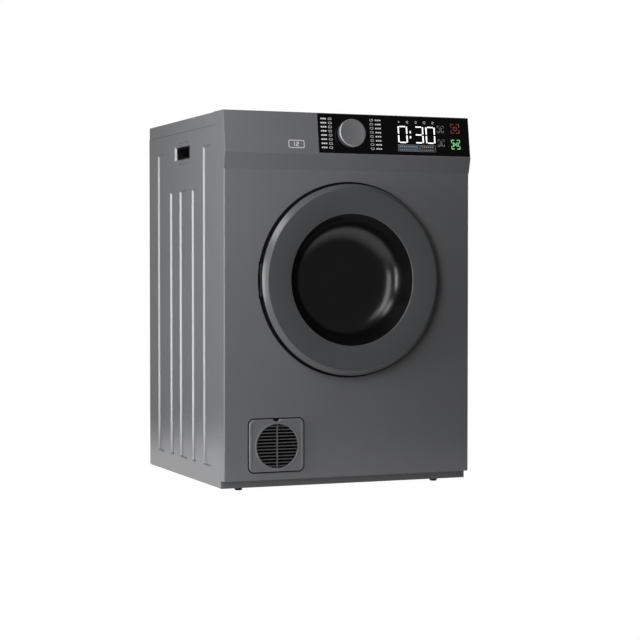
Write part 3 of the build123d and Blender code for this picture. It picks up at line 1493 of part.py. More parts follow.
export_step(blower_housing.part, "parts/blower_housing.step")

# Blower wheel: blades between a disc at the back and a ring at the front, on a hub
wheel_front = scroll_front_depth + wheel_gap
wheel_back = scroll_rear_depth - wheel_gap
ring_depths = (wheel_front, wheel_front + wheel_disc_thick)
with BuildPart() as blower_wheel:
    rod(motor_x, motor_z, (wheel_back - wheel_disc_thick, wheel_back), wheel_radius)
    rod(motor_x, motor_z, ring_depths, wheel_radius)
    rod(motor_x, motor_z, ring_depths, wheel_radius - wheel_ring_width, Mode.SUBTRACT)
    with BuildSketch(facing(wheel_front)):
        with Locations((motor_x, motor_z)):
            with PolarLocations(wheel_radius - blade_inset, blade_count):
                Rectangle(blade_length, blade_thick, rotation=blade_angle)
    extrude(amount=wheel_front - wheel_back)
    rod(motor_x, motor_z, (shaft_depths[0], wheel_back), wheel_hub_radius)
    rod(motor_x, motor_z, (wheel_front, wheel_back), motor_shaft_radius, Mode.SUBTRACT)
blower_wheel.part.label = "blower_wheel"
export_step(blower_wheel.part, "parts/blower_wheel.step")

# Exhaust duct: box from the blower outlet to a round collar behind the front panel
duct_left = port_x - port_radius - exhaust_margin
duct_xs = (duct_left, outlet_x)
duct_ys = (at(scroll_front_depth), at(scroll_rear_depth))
duct_zs = (base_z + exhaust_foot_height, outlet_zs[1])
duct_inner_xs = (duct_xs[0] + exhaust_wall, duct_xs[1] - exhaust_wall)
duct_inner_ys = (duct_ys[0] + exhaust_wall, duct_ys[1] - exhaust_wall)
duct_inner_zs = (duct_zs[0] + exhaust_wall, duct_zs[1] - exhaust_wall)
with BuildPart() as exhaust_duct:
    block(duct_xs, duct_ys, duct_zs)
    rod(port_x, port_z, (0, scroll_front_depth), port_radius + port_wall)
    rod(port_x, port_z, (sheet, sheet + port_flange_thick), port_radius + port_wall + port_flange)
    block(duct_inner_xs, duct_inner_ys, duct_inner_zs, Mode.SUBTRACT)
    outlet_inner_zs = (outlet_zs[0] + exhaust_wall, duct_inner_zs[1])
    block((duct_inner_xs[1] - over, outlet_x), duct_inner_ys, outlet_inner_zs, Mode.SUBTRACT)
    rod(port_x, port_z, (-over, scroll_front_depth + exhaust_wall + over), port_radius, Mode.SUBTRACT)
exhaust_duct.part.label = "exhaust_duct"
export_step(exhaust_duct.part, "parts/exhaust_duct.step")

# Filter duct: takes the lint filter under the throat and leads down to the blower inlet
filter_duct_foot_z = base_z + filter_duct_foot_height
filter_duct_inner = about(0, filter_duct_width - 2 * filter_duct_wall)
front_wall_y = at(filter_duct_front + filter_duct_wall)
floor_z = filter_duct_foot_z + filter_duct_wall
ledge_back_y = at(bulkhead_depth - filter_duct_wall)
mouth_depths = (bulkhead_depth - filter_duct_wall, scroll_front_depth)
with BuildPart() as filter_duct:
    outer_ys = (at(filter_duct_front), at(bulkhead_depth))
    block(about(0, filter_duct_width), outer_ys, (filter_duct_foot_z, filter_head_z))
    head_ys = (front_wall_y, at(bulkhead_depth))
    block(filter_duct_inner, head_ys, (filter_foot_z, filter_head_z), Mode.SUBTRACT)
    shaft_ys = (front_wall_y, at(filter_depth + filter_play))
    block(filter_duct_inner, shaft_ys, (floor_z, filter_head_z), Mode.SUBTRACT)
    foot_zs = (floor_z, filter_foot_z - filter_ledge)
    block(filter_duct_inner, (front_wall_y, ledge_back_y), foot_zs, Mode.SUBTRACT)
    rod(motor_x, motor_z, mouth_depths, scroll_inlet_radius + filter_duct_wall)
    rod(motor_x, motor_z, mouth_depths, scroll_inlet_radius, Mode.SUBTRACT)
    rod(0, door_z, (0, 2 * bulkhead_depth), throat_radius + throat_wall, Mode.SUBTRACT)
filter_duct.part.label = "filter_duct"
export_step(filter_duct.part, "parts/filter_duct.step")

# Lint filter: frame with a curved head, mesh bars and a grip
filter_ys = (at(filter_depth), at(filter_depth + filter_thick))
throat_foot_z = door_z - throat_radius
window_width = filter_width - 2 * filter_border
window_zs = (filter_foot_z + filter_border, throat_foot_z - filter_head_border)
mesh_ys = (filter_ys[0] + mesh_set, filter_ys[0] + mesh_set + mesh_bar_thick)
grip_ys = (filter_ys[0] + grip_set, filter_ys[0] + grip_set + grip_thick)
with BuildPart() as lint_filter:
    block(about(0, filter_width), filter_ys, (filter_foot_z, filter_head_z))
    rod(0, door_z, (0, bulkhead_depth), throat_radius - filter_play, Mode.SUBTRACT)
    block(about(0, window_width), filter_ys, window_zs, Mode.SUBTRACT)
    for number in range(mesh_bars):
        bar_x = (number - (mesh_bars - 1) / 2) * window_width / mesh_bars
        block(about(bar_x, mesh_bar_width), mesh_ys, window_zs)
    block(about(0, grip_width), grip_ys, (throat_foot_z - grip_foot, throat_foot_z + grip_rise))
lint_filter.part.label = "lint_filter"
export_step(lint_filter.part, "parts/lint_filter.step")

# Exhaust grille: pull-off frame with a louvred eye, four pegs and a finger notch at the top
grille_middle = (sum(grille_xs) / 2, sum(grille_zs) / 2)
grille_size = (grille_xs[1] - grille_xs[0], grille_zs[1] - grille_zs[0])
louvre_ys = (at(louvre_set - grille_proud), at(-slip))
notch_ys = (at(-grille_proud - over), at(grille_notch_depth - grille_proud))
notch_head_zs = (grille_zs[1] - grille_notch_height, grille_zs[1] + over)
with BuildPart() as exhaust_grille:
    with BuildSketch(facing(-slip)):
        with Locations(grille_middle):
            RectangleRounded(*grille_size, grille_round)
    extrude(amount=grille_proud - slip)
    fillet(exhaust_grille.faces().sort_by(Axis.Y)[0].edges(), grille_edge_round)
    rod(port_x, port_z, (-grille_proud - over, over), grille_eye_radius, Mode.SUBTRACT)
    for number in range(louvre_bars):
        bar_lift = (number - (louvre_bars - 1) / 2) * louvre_pitch
        half_chord = sqrt(grille_eye_radius**2 - bar_lift**2) + louvre_thick
        block(about(port_x, 2 * half_chord), louvre_ys, about(port_z + bar_lift, louvre_thick))
    upright_zs = about(port_z, 2 * (grille_eye_radius + over))
    block(about(port_x, 2 * louvre_thick), louvre_ys, upright_zs)
    block(about(grille_middle[0], grille_notch_width), notch_ys, notch_head_zs, Mode.SUBTRACT)
    for x, z in peg_spots:
        rod(x, z, (-slip, peg_reach), peg_radius)
exhaust_grille.part.label = "exhaust_grille"
export_step(exhaust_grille.part, "parts/exhaust_grille.step")
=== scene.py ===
# %% [markdown]
# # A front-loading clothes dryer
# The machine is a grey sheet-metal box with a round door, a leaning control strip with a black glass
# panel and a knob, and a louvred outlet low on the front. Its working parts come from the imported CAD
# model, which is loaded first and never moved. This lesson dresses it: it gives each CAD node a finish,
# and it swaps the round, glossy pieces for smoother surfaces that catch the light well.

# %% Load the frame
import json
from math import atan2, cos, pi, radians, sin

import bmesh
import bpy
import numpy as np
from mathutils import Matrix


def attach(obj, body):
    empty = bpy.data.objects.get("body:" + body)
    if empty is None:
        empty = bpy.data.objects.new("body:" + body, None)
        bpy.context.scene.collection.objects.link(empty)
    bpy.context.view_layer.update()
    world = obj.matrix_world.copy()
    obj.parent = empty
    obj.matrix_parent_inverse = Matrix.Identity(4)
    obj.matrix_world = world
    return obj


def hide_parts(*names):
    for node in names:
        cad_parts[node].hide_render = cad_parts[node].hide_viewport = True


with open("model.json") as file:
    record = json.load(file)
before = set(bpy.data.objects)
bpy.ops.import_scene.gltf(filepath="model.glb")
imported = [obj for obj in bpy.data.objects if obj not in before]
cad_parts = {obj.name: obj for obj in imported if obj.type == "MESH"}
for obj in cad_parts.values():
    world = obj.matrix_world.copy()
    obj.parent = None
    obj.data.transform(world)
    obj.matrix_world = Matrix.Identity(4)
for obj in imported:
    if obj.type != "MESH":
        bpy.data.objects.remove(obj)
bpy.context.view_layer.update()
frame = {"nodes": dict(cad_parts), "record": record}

# %% [markdown]
# ## The camera
# A product picture like this one is taken from a few metres away with a long lens, a little to the left
# of the machine and at about half its height, so upright edges stay upright. The place and the lens were
# worked out from the corners of the cabinet. A camera looks along its own -Z, so a quarter turn about X
# makes it level, and the yaw then turns it about the upright axis.

# %% Camera
camera_place = (-1.5549, -3.9150, 0.4891)
camera_yaw = radians(22.131)
camera_pitch = radians(1.594)
focal_pixels = 1769.0
picture_width = 640
sensor_width = 36.0

view = bpy.data.cameras.new("camera")
view.sensor_width = sensor_width
view.lens = focal_pixels / picture_width * sensor_width
camera = bpy.data.objects.new("camera", view)
camera.location = camera_place
camera.rotation_euler = (pi / 2 - camera_pitch, 0, -camera_yaw)
bpy.context.collection.objects.link(camera)
bpy.context.scene.camera = camera
bpy.context.scene.view_settings.view_transform = "Standard"
print("lens:", round(view.lens, 2), "mm")

# %% [markdown]
# ## Colours and nodes
# Colours are written as the hex values that a paint chart would give, in sRGB. Shaders work with linear
# light, so one function converts them. A second one adds a node to a material, sets its sockets or links
# them to other nodes, and sets its properties, so that each finish below reads as a short recipe.

# %% Colour and node helpers
def linear(code):
    """sRGB hex to linear: c / 12.92 below 0.04045, else ((c + 0.055) / 1.055) to the power 2.4."""
    c = np.array([int(code[i:i + 2], 16) for i in (1, 3, 5)]) / 255
    return (*np.where(c < 0.04045, c / 12.92, ((c + 0.055) / 1.055) ** 2.4).tolist(), 1.0)


def add(tree, kind, sockets, **properties):
    """Adds a node. A socket's value is a number, a colour, or another node's output to link from."""
    made = tree.nodes.new("ShaderNode" + kind)
    for name, value in properties.items():
        setattr(made, name, value)
    for name, value in sockets.items():
        if isinstance(value, bpy.types.NodeSocket):
            tree.links.new(value, made.inputs[name])
        else:
            made.inputs[name].default_value = value
    return made


def per_mm(size):
    """Texture scale for a pattern whose features are that many millimetres across, in a scene in metres."""
    return 1000.0 / size


finishes = {}
print("mid grey #808080 is", round(linear("#808080")[0], 4), "in linear light")

# %% [markdown]
# ## Painted and moulded surfaces
# Powder coat, lacquer and moulded plastic share one build. A broad noise shifts the colour slightly
# between a dark and a pale tone, as real batches and thickness do. A middle noise varies the roughness,
# and a fine one raises the skin: the orange peel of a powder coat or the spark-eroded grain of a mould.
# The numbers are what makes each of them: patch size, grain size and grain height, all in millimetres.

# %% Painted and moulded finishes
def coated(name, dark, pale, patch, grain, height, smooth, rough, **shader):
    """Dielectric skin: colour runs from dark to pale with patch noise, roughness from smooth to rough."""
    made = bpy.data.materials.new(name)
    made.use_nodes = True
    tree = made.node_tree
    shade = tree.nodes["Principled BSDF"]
    place = add(tree, "TexCoord", {}).outputs["Object"]
    cloud = add(tree, "TexNoise", {"Vector": place, "Scale": per_mm(patch), "Detail": 3.0})
    tone = add(tree, "Mix", {0: cloud.outputs["Fac"], 6: linear(dark), 7: linear(pale)}, data_type="RGBA")
    pits = add(tree, "TexNoise", {"Vector": place, "Scale": per_mm(grain), "Detail": 2.0})
    wear = add(tree, "TexNoise", {"Vector": place, "Scale": per_mm(patch / 4), "Detail": 4.0})
    sheen = add(tree, "MapRange", {"Value": wear.outputs["Fac"], "To Min": smooth, "To Max": rough})
    relief = add(tree, "Bump", {"Height": pits.outputs["Fac"], "Distance": height / 1000, "Strength": 0.6})
    tree.links.new(tone.outputs[2], shade.inputs["Base Color"])
    tree.links.new(sheen.outputs["Result"], shade.inputs["Roughness"])
    tree.links.new(relief.outputs["Normal"], shade.inputs["Normal"])
    for socket, value in shader.items():
        shade.inputs[socket.replace("_", " ")].default_value = value
    return made


low_gloss = {"Specular_IOR_Level": 0.45}
matt = {"Specular_IOR_Level": 0.10}
finishes["cabinet_paint"] = coated(
    "powder_coat_silver_grey", "#747577", "#7b7c7e", 220, 1.6, 0.008, 0.17, 0.23, **low_gloss)
finishes["fascia_plastic"] = coated(
    "painted_abs_silver_grey", "#747577", "#7a7b7d", 160, 1.0, 0.005, 0.19, 0.25, **low_gloss)
finishes["door_plastic"] = coated(
    "painted_abs_graphite", "#565759", "#5c5d5f", 160, 1.0, 0.005, 0.22, 0.28, **low_gloss)
finishes["black_plastic"] = coated(
    "moulded_pp_black", "#0b0b0c", "#101011", 40, 0.7, 0.04, 0.50, 0.65, **matt)
finishes["liner_plastic"] = coated(
    "moulded_pp_grey", "#5a5b5d", "#626365", 80, 0.8, 0.03, 0.45, 0.58, **low_gloss)
finishes["duct_plastic"] = coated(
    "moulded_pp_dark_grey", "#141415", "#1a1a1b", 70, 0.9, 0.03, 0.50, 0.65, **matt)
finishes["white_plastic"] = coated(
    "moulded_abs_white", "#d6d6d2", "#dededa", 90, 0.8, 0.02, 0.35, 0.50)
finishes["soft_rubber"] = coated(
    "moulded_epdm_rubber", "#17171a", "#202023", 30, 0.5, 0.03, 0.70, 0.88, **low_gloss)
finishes["motor_metal"] = coated(
    "lacquered_steel_black", "#161718", "#1e1f21", 40, 1.2, 0.05, 0.45, 0.60, **matt)
print("coated finishes:", len(finishes))

# %% [markdown]
# ## Glass
# The control panel is clear glass printed black on the back, and the bowl of the door is smoked
# polycarbonate. Both look black, and almost all that the eye sees of them is what they reflect, so the
# only pattern is a faint film of handling marks in the roughness.

# %% Glass finishes
finishes["black_glass"] = coated(
    "back_printed_glass_black", "#030304", "#050506", 120, 3.0, 0.0005, 0.02, 0.06, Specular_IOR_Level=0.25)
finishes["bowl_glass"] = coated(
    "smoked_polycarbonate", "#0b0b0c", "#0e0e0f", 120, 3.0, 0.0005, 0.20, 0.25, Specular_IOR_Level=0.50)
print("glass finishes: black_glass, bowl_glass")

# %% [markdown]
# ## Metals
# Rolled steel shows fine lines along one direction, drawn here by a noise that is stretched along it.
# Hot-dip zinc shows spangle, crystals a few millimetres wide, which Voronoi cells give. Turned aluminium
# shows circles about the turning axis. A metal's colour is its reflection, so the pattern goes mostly
# into roughness and relief.

# %% Metal finishes
def drawn(name, dark, pale, lines, smooth, rough):
    """Metal with fine lines: noise on coordinates scaled by lines = features per metre along X, Y and Z."""
    made = bpy.data.materials.new(name)
    made.use_nodes = True
    tree = made.node_tree
    shade = tree.nodes["Principled BSDF"]
    shade.inputs["Metallic"].default_value = 1.0
    place = add(tree, "TexCoord", {}).outputs["Object"]
    along = add(tree, "Mapping", {"Vector": place, "Scale": lines})
    streak = add(tree, "TexNoise", {"Vector": along.outputs["Vector"], "Scale": 1.0, "Detail": 3.0})
    tone = add(tree, "Mix", {0: streak.outputs["Fac"], 6: linear(dark), 7: linear(pale)}, data_type="RGBA")
    sheen = add(tree, "MapRange", {"Value": streak.outputs["Fac"], "To Min": smooth, "To Max": rough})
    relief = add(tree, "Bump", {"Height": streak.outputs["Fac"], "Distance": 0.00002, "Strength": 0.5})
    tree.links.new(tone.outputs[2], shade.inputs["Base Color"])
    tree.links.new(sheen.outputs["Result"], shade.inputs["Roughness"])
    tree.links.new(relief.outputs["Normal"], shade.inputs["Normal"])
    return made


finishes["drum_steel"] = drawn(
    "brushed_stainless_steel", "#a9a9a7", "#bdbdba", (per_mm(40), per_mm(1.5), per_mm(40)), 0.28, 0.42)
finishes["zinc_steel"] = drawn(
    "zinc_plated_steel", "#9d9e9a", "#b4b4ae", (per_mm(3), per_mm(3), per_mm(3)), 0.30, 0.45)
finishes["heater_metal"] = drawn(
    "rolled_aluminium", "#a8a9aa", "#bcbdbe", (per_mm(1.2), per_mm(20), per_mm(20)), 0.35, 0.50)

spangled = bpy.data.materials.new("hot_dip_galvanised_steel")
spangled.use_nodes = True
tree = spangled.node_tree
shade = tree.nodes["Principled BSDF"]
shade.inputs["Metallic"].default_value = 1.0
place = add(tree, "TexCoord", {}).outputs["Object"]
crystal = add(tree, "TexVoronoi", {"Vector": place, "Scale": per_mm(9)})
tint = add(tree, "SeparateColor", {"Color": crystal.outputs["Color"]}).outputs["Red"]
tone = add(tree, "Mix", {0: tint, 6: linear("#8f9293"), 7: linear("#a7aaab")}, data_type="RGBA")
sheen = add(tree, "MapRange", {"Value": tint, "To Min": 0.34, "To Max": 0.52})
tree.links.new(tone.outputs[2], shade.inputs["Base Color"])
tree.links.new(sheen.outputs["Result"], shade.inputs["Roughness"])
finishes["galvanised_sheet"] = spangled
print("metal finishes: drum_steel, zinc_steel, heater_metal, galvanised_sheet")

# %% [markdown]
# ## The control strip's own directions
# The face of the control strip leans back. Everything on it, knob and print alike, is laid out on a flat
# plan: u runs to the right and v up the face, in millimetres from its middle. One function lifts such a
# plan, with a height above the face, into the scene.

# %% Plan of the leaning face
face_middle = np.array([0.0, -270.2, 793.7])
face_lean = atan2(13.8, 92.6)
face_right = np.array([1.0, 0.0, 0.0])
face_up = np.array([0.0, sin(face_lean), cos(face_lean)])
face_out = np.array([0.0, -cos(face_lean), sin(face_lean)])


def on_face(u, v, lift):
    """Point of the leaning face: middle + u along X + v up the face + lift along its normal, in metres."""
    u, v, lift = (np.asarray(a, float)[..., None] for a in np.broadcast_arrays(u, v, lift))
    return (face_middle + u * face_right + v * face_up + lift * face_out) / 1000


print("lean of the face:", round(face_lean * 180 / pi, 2), "degrees")

# %% Turned cap of the knob
# Anodised aluminium, turned on a lathe: fine circles about the knob's axis. The real grooves are about
# 0.1 mm apart and are drawn at 0.5 mm, so that they show.
knob_spot = (0.0, 0.5)
knob_middle = on_face(*knob_spot, 0.0)
turned_cap = bpy.data.materials.new("turned_anodised_aluminium")
turned_cap.use_nodes = True
tree = turned_cap.node_tree
shade = tree.nodes["Principled BSDF"]
shade.inputs["Metallic"].default_value = 1.0
place = add(tree, "TexCoord", {}).outputs["Object"]
centred = add(tree, "VectorMath", {0: place, 1: tuple(knob_middle)}, operation="SUBTRACT")
upright = add(tree, "Mapping", {"Vector": centred.outputs["Vector"], "Rotation": (-pi / 2 + face_lean, 0, 0)})
groove = {"Vector": upright.outputs["Vector"], "Scale": per_mm(0.5) / 20, "Distortion": 0.4, "Detail": 1.0}
rings = add(tree, "TexWave", groove, wave_type="RINGS", rings_direction="Z")
cap_tones = {0: rings.outputs["Fac"], 6: linear("#9fa0a2"), 7: linear("#b0b1b3")}
tone = add(tree, "Mix", cap_tones, data_type="RGBA")
sheen = add(tree, "MapRange", {"Value": rings.outputs["Fac"], "To Min": 0.50, "To Max": 0.62})
relief = add(tree, "Bump", {"Height": rings.outputs["Fac"], "Distance": 0.00003, "Strength": 0.4})
tree.links.new(tone.outputs[2], shade.inputs["Base Color"])
tree.links.new(sheen.outputs["Result"], shade.inputs["Roughness"])
tree.links.new(relief.outputs["Normal"], shade.inputs["Normal"])
finishes["cap_metal"] = turned_cap
print("cap finish:", turned_cap.name)

# %% [markdown]
# ## Felt and circuit board
# The drum runs on rings of pressed wool felt, whose fibres lie in all directions: two noises, a coarse
# one for clumps and a fine one for fibres. The boards are green laminate with paler copper tracks under
# the lacquer, which the edges of Voronoi cells stand in for.

# %% Felt and board finishes
felt = coated("pressed_wool_felt", "#8d877a", "#a39d8f", 6, 0.4, 0.25, 0.90, 1.0, Specular_IOR_Level=0.1)
felt.node_tree.nodes["Principled BSDF"].inputs["Sheen Weight"].default_value = 0.3
finishes["felt"] = felt

laminate = bpy.data.materials.new("epoxy_laminate_green")
laminate.use_nodes = True
tree = laminate.node_tree
shade = tree.nodes["Principled BSDF"]
shade.inputs["Roughness"].default_value = 0.35
place = add(tree, "TexCoord", {}).outputs["Object"]
cells = {"Vector": place, "Scale": per_mm(7)}
track = add(tree, "TexVoronoi", cells, feature="DISTANCE_TO_EDGE", distance="MANHATTAN")
edge = add(tree, "MapRange", {"Value": track.outputs["Distance"], "From Min": 0.06, "From Max": 0.10})
board_tones = {0: edge.outputs["Result"], 6: linear("#3f7d4a"), 7: linear("#1d4a2c")}
tone = add(tree, "Mix", board_tones, data_type="RGBA")
tree.links.new(tone.outputs[2], shade.inputs["Base Color"])
finishes["board"] = laminate
print("all finishes:", sorted(finishes))

# %% [markdown]
# ## Dressing the CAD nodes
# The record names a material slot for every CAD node, and each slot has its finish now, so one pass over
# the record paints the whole machine, inside and out.

# %% Assign the finishes
slot_of = {part["node"]: part["material_slot"] for part in frame["record"]["subparts"]}
for name, holder in frame["nodes"].items():
    for place_of_paint in holder.material_slots:
        place_of_paint.material = finishes[slot_of[name]]
print("painted nodes:", len(slot_of))

# %% [markdown]
# ## Surfaces from grids
# New pieces are grids of points. A stack of grids goes in as one array (grid, row, column, xyz), and the
# faces come from index arithmetic. Rows or columns that close on themselves are wrapped. Points that
# fall together, as at the pole of a turned shape, are merged, and the faces are then turned outwards.

# %% Skin a grid
def skin(name, grids, slot, body, wrap_rows=True, sharp=38.0):
    """One closed mesh from a stack of grids whose columns run round; each face joins four neighbours."""
    stack, rows, columns = grids.shape[:3]
    index = np.arange(stack * rows * columns).reshape(stack, rows, columns)
    index = np.concatenate([index, index[:, :, :1]], 2)
    if wrap_rows:
        index = np.concatenate([index, index[:, :1]], 1)
    corners = (index[:, :-1, :-1], index[:, :-1, 1:], index[:, 1:, 1:], index[:, 1:, :-1])
    mesh = bpy.data.meshes.new(name)
    mesh.from_pydata(grids.reshape(-1, 3).tolist(), [], np.stack(corners, -1).reshape(-1, 4).tolist())
    work = bmesh.new()
    work.from_mesh(mesh)
    bmesh.ops.remove_doubles(work, verts=work.verts, dist=1e-6)
    bmesh.ops.recalc_face_normals(work, faces=work.faces)
    work.to_mesh(mesh)
    work.free()
    mesh.shade_smooth()
    mesh.set_sharp_from_angle(angle=radians(sharp))
    mesh.materials.append(finishes[slot])
    piece = bpy.data.objects.new(name, mesh)
    bpy.context.collection.objects.link(piece)
    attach(piece, body)
    print(name, "faces:", len(mesh.polygons))
    return piece


def rounded(corners, cuts, steps=6):
    """Outline with rounded corners: at each, a parabola from cut before the corner to cut after it."""
    corners = np.asarray(corners, float)
    cuts = np.asarray(cuts, float)[:, None]
    before = np.roll(corners, 1, 0) - corners
    after = np.roll(corners, -1, 0) - corners
    start = corners + before / np.linalg.norm(before, axis=1, keepdims=True) * cuts
    end = corners + after / np.linalg.norm(after, axis=1, keepdims=True) * cuts
    t = np.linspace(0, 1, steps)[None, :, None]
    curve = (1 - t) ** 2 * start[:, None] + 2 * t * (1 - t) * corners[:, None] + t**2 * end[:, None]
    return curve.reshape(-1, 2)


# %% [markdown]
# ## The door
# The door is a wide ring with a dished face and a bevel, round a deep black bowl. On a turned shape with
# a satin finish every facet shows, so both are turned here in fine steps from the same outlines as the
# CAD: pairs of depth behind the front panel and radius. Behind the bevel the ring ends in a black rear
# shell, which has a pocket at the left for the barrel of the hinge; its black is partly painted shade.
# A thin black ring on the front panel round the door, with two small corners above and below the hinge,
# is painted shade: it stands for the shadow in the gap round the door.

# %% Door ring
front_y = -268.0
door_z = 468.7
turn_steps = 288


def about_door(outline, angles):
    """Turn (depth, radius) about the door's axis: x = r cos a, y = front + depth, z = door + r sin a."""
    depth, radius = outline[..., 0], outline[..., 1]
    parts = np.broadcast_arrays(radius * np.cos(angles), front_y + depth, door_z + radius * np.sin(angles))
    return np.stack(parts, -1) / 1000


ring_corners = [
    (-17.0, 147.2), (-20.0, 147.2), (-25.0, 203.5), (-14.0, 214.0), (-13.2, 214.0), (-13.2, 211.6),
    (-22.5, 202.3), (-17.5, 158.2), (-17.0, 158.2)]
ring_cuts = [0.3, 1.8, 1.6, 0.4, 0.2, 0.4, 0.8, 0.2, 0.2]
full_turn = np.linspace(-pi, pi, turn_steps, endpoint=False)
ring_outline = rounded(ring_corners, ring_cuts)
door_ring = skin("door_ring", about_door(ring_outline[:, None], full_turn)[None], "door_plastic", "door")
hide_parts("door_frame")

# %% Rear shell of the door
# Its black is partly painted shade: besides the rear wall it stands for the shade in the gap behind the ring.
shell_corners = [
    (-13.2, 213.4), (-12.6, 213.4), (-12.3, 213.4), (-1.8, 213.4), (-1.8, 208.6), (-4.3, 208.6),
    (-12.3, 211.1), (-12.6, 211.2), (-13.2, 211.4)]
shell_outline = rounded(shell_corners, [0.0, 0.0, 0.0, 2.6, 0.2, 0.3, 0.0, 0.0, 0.0])
pocket_half, pocket_wall, step = 37.2, 206.6, 0.001
pocket_edge = np.arcsin(pocket_half / 210.0)
pocket_turns = [pocket_edge - pi, pocket_edge + step - pi, pi - pocket_edge - step, pi - pocket_edge]
shell_turns = np.sort(np.concatenate([full_turn, pocket_turns]))
shell_grid = about_door(shell_outline[:, None], shell_turns)
in_pocket = (np.abs(shell_turns) > pi - pocket_edge - step / 2) & (shell_outline[:, :1] > -12.4)
pocket_x = np.maximum(shell_grid[..., 0], -pocket_wall / 1000)
shell_grid[..., 0] = np.where(in_pocket, pocket_x, shell_grid[..., 0])
door_shell = skin("door_shell", shell_grid[None], "black_plastic", "door")

# %% Door bowl
bowl_inside = rounded([(-17.0, 146.8), (48.0, 120.0), (48.0, 0.0)], [0.0, 46.0, 0.0], 32)
bowl_outside = rounded([(52.0, 0.0), (52.0, 124.0), (-14.0, 150.8)], [0.0, 24.0, 0.0], 24)
bowl_brim = np.array([(-14.0, 157.2), (-17.0, 157.2)])
bowl_outline = np.concatenate([bowl_inside, bowl_outside, bowl_brim])
door_bowl = skin("door_bowl", about_door(bowl_outline[:, None], full_turn)[None], "bowl_glass", "door")
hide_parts("door_glass")

# %% Painted shade round the door
# Painted shadow: this black ring on the panel stands for the shade in the gap round the door.
shade_ring_inner, shade_ring_outer, plate_side, plate_half_height = 206.5, 219.0, 217.2, 40.0
shade_ring_sunk, shade_ring_face = 0.3, -0.35
plate_turn = np.arctan2(plate_half_height, plate_side)
plate_turns = [plate_turn - pi, plate_turn + step - pi, pi - plate_turn - step, pi - plate_turn]
shade_ring_turns = np.sort(np.concatenate([full_turn, plate_turns]))
at_plate = np.abs(shade_ring_turns) > pi - plate_turn - step / 2
plate_edge = np.where(at_plate, plate_side / np.abs(np.cos(shade_ring_turns)), shade_ring_outer)
shade_ring_edge = np.maximum(plate_edge, shade_ring_outer)
shade_ring_radius = np.stack([shade_ring_inner + 0 * shade_ring_edge, shade_ring_edge, shade_ring_edge, shade_ring_inner + 0 * shade_ring_edge])
shade_ring_depth = np.array([shade_ring_sunk, shade_ring_sunk, shade_ring_face, shade_ring_face])[:, None] + 0 * shade_ring_edge
shade_ring_grid = about_door(np.stack([shade_ring_depth, shade_ring_radius], -1), shade_ring_turns)
door_shade_ring = skin("door_shade_ring", shade_ring_grid[None], "black_plastic", "cabinet")

# %% [markdown]
# ## The knob
# The knob is a black moulded base with a turned metal cap that has a bright chamfer at its edge and a
# face that is dished by little more than a millimetre. It is turned about the normal of the leaning face.

# %% Knob base and cap
def about_knob(outline):
    """Turn (radius, lift) pairs about the knob's axis on the leaning face."""
    around = np.linspace(0, 2 * pi, 128, endpoint=False)
    radius, lift = outline[:, 0, None], outline[:, 1, None]
    return on_face(knob_spot[0] + radius * np.cos(around), knob_spot[1] + radius * np.sin(around), lift)


base_corners = [
    (0.0, -4.7), (3.0, -4.7), (3.0, 0.5), (33.0, 0.5), (33.0, 4.0), (30.4, 4.0), (30.4, 15.0), (0.0, 15.0)]
base_cuts = [0.0, 0.3, 0.0, 0.2, 0.9, 0.2, 0.6, 0.0]
knob_base = skin("knob_skirt", about_knob(rounded(base_corners, base_cuts))[None], "black_plastic", "knob")
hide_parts("knob_base")

cap_corners = [(0.0, 15.2), (30.6, 15.2), (30.6, 4.2), (31.6, 4.2), (31.6, 15.4), (29.8, 17.0), (28.4, 16.9)]
cap_rim = rounded(cap_corners, [0.0, 0.2, 0.2, 0.2, 0.3, 0.5, 0.0])
dish_radius = np.linspace(28.4, 0.0, 16)
cap_dish = np.stack([dish_radius, 15.5 + 1.4 * (dish_radius / 28.4) ** 2], -1)
knob_cap = skin("knob_face", about_knob(np.concatenate([cap_rim, cap_dish]))[None], "cap_metal", "knob")
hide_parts("knob_cap")

# %% [markdown]
# ## The exhaust grille
# The grille is a square plate with rounded corners and a round eye with louvres. Its plate is one grid:
# columns are rays from the middle of the eye, and rows run from the outer edge, over the rounded front
# edge, to the rim of the eye and back behind. Where a ray meets the rounded square is found by halving
# an interval on the square's distance function. The corners between rim and border lie a little lower,
# and a scoop in the top edge takes the fingertip that pulls the grille off.

# %% Grille plate
eye = np.array([-174.5, 102.3])
eye_radius = 48.6
plate_middle = np.array([-176.15, 103.9])
plate_half = np.array([64.25, 58.1])
plate_round = 12.0
proud, back_lift = 5.0, 0.4
edge_round, rim_round = 2.4, 0.8
border, rim, slope, hollow = 6.0, 3.0, 0.8, 0.7
rays = np.linspace(0, 2 * pi, 480, endpoint=False)
ray_way = np.stack([np.cos(rays), np.sin(rays)], -1)


def square_distance(spots):
    """Distance to the rounded square, negative inside: the part of |p| - half + round above 0, less round."""
    beyond = np.abs(spots - plate_middle) - plate_half + plate_round
    return np.linalg.norm(np.maximum(beyond, 0), axis=-1) + np.minimum(beyond.max(-1), 0) - plate_round


def ray_reach(inset):
    """Length of each ray to the line that lies inset inside the rounded square, by halving an interval."""
    low, high = np.full(len(rays), eye_radius), np.full(len(rays), 120.0)
    for _ in range(40):
        half = (low + high) / 2
        inside = square_distance(eye + half[:, None] * ray_way) < -inset
        low, high = np.where(inside, half, low), np.where(inside, high, half)
    return low


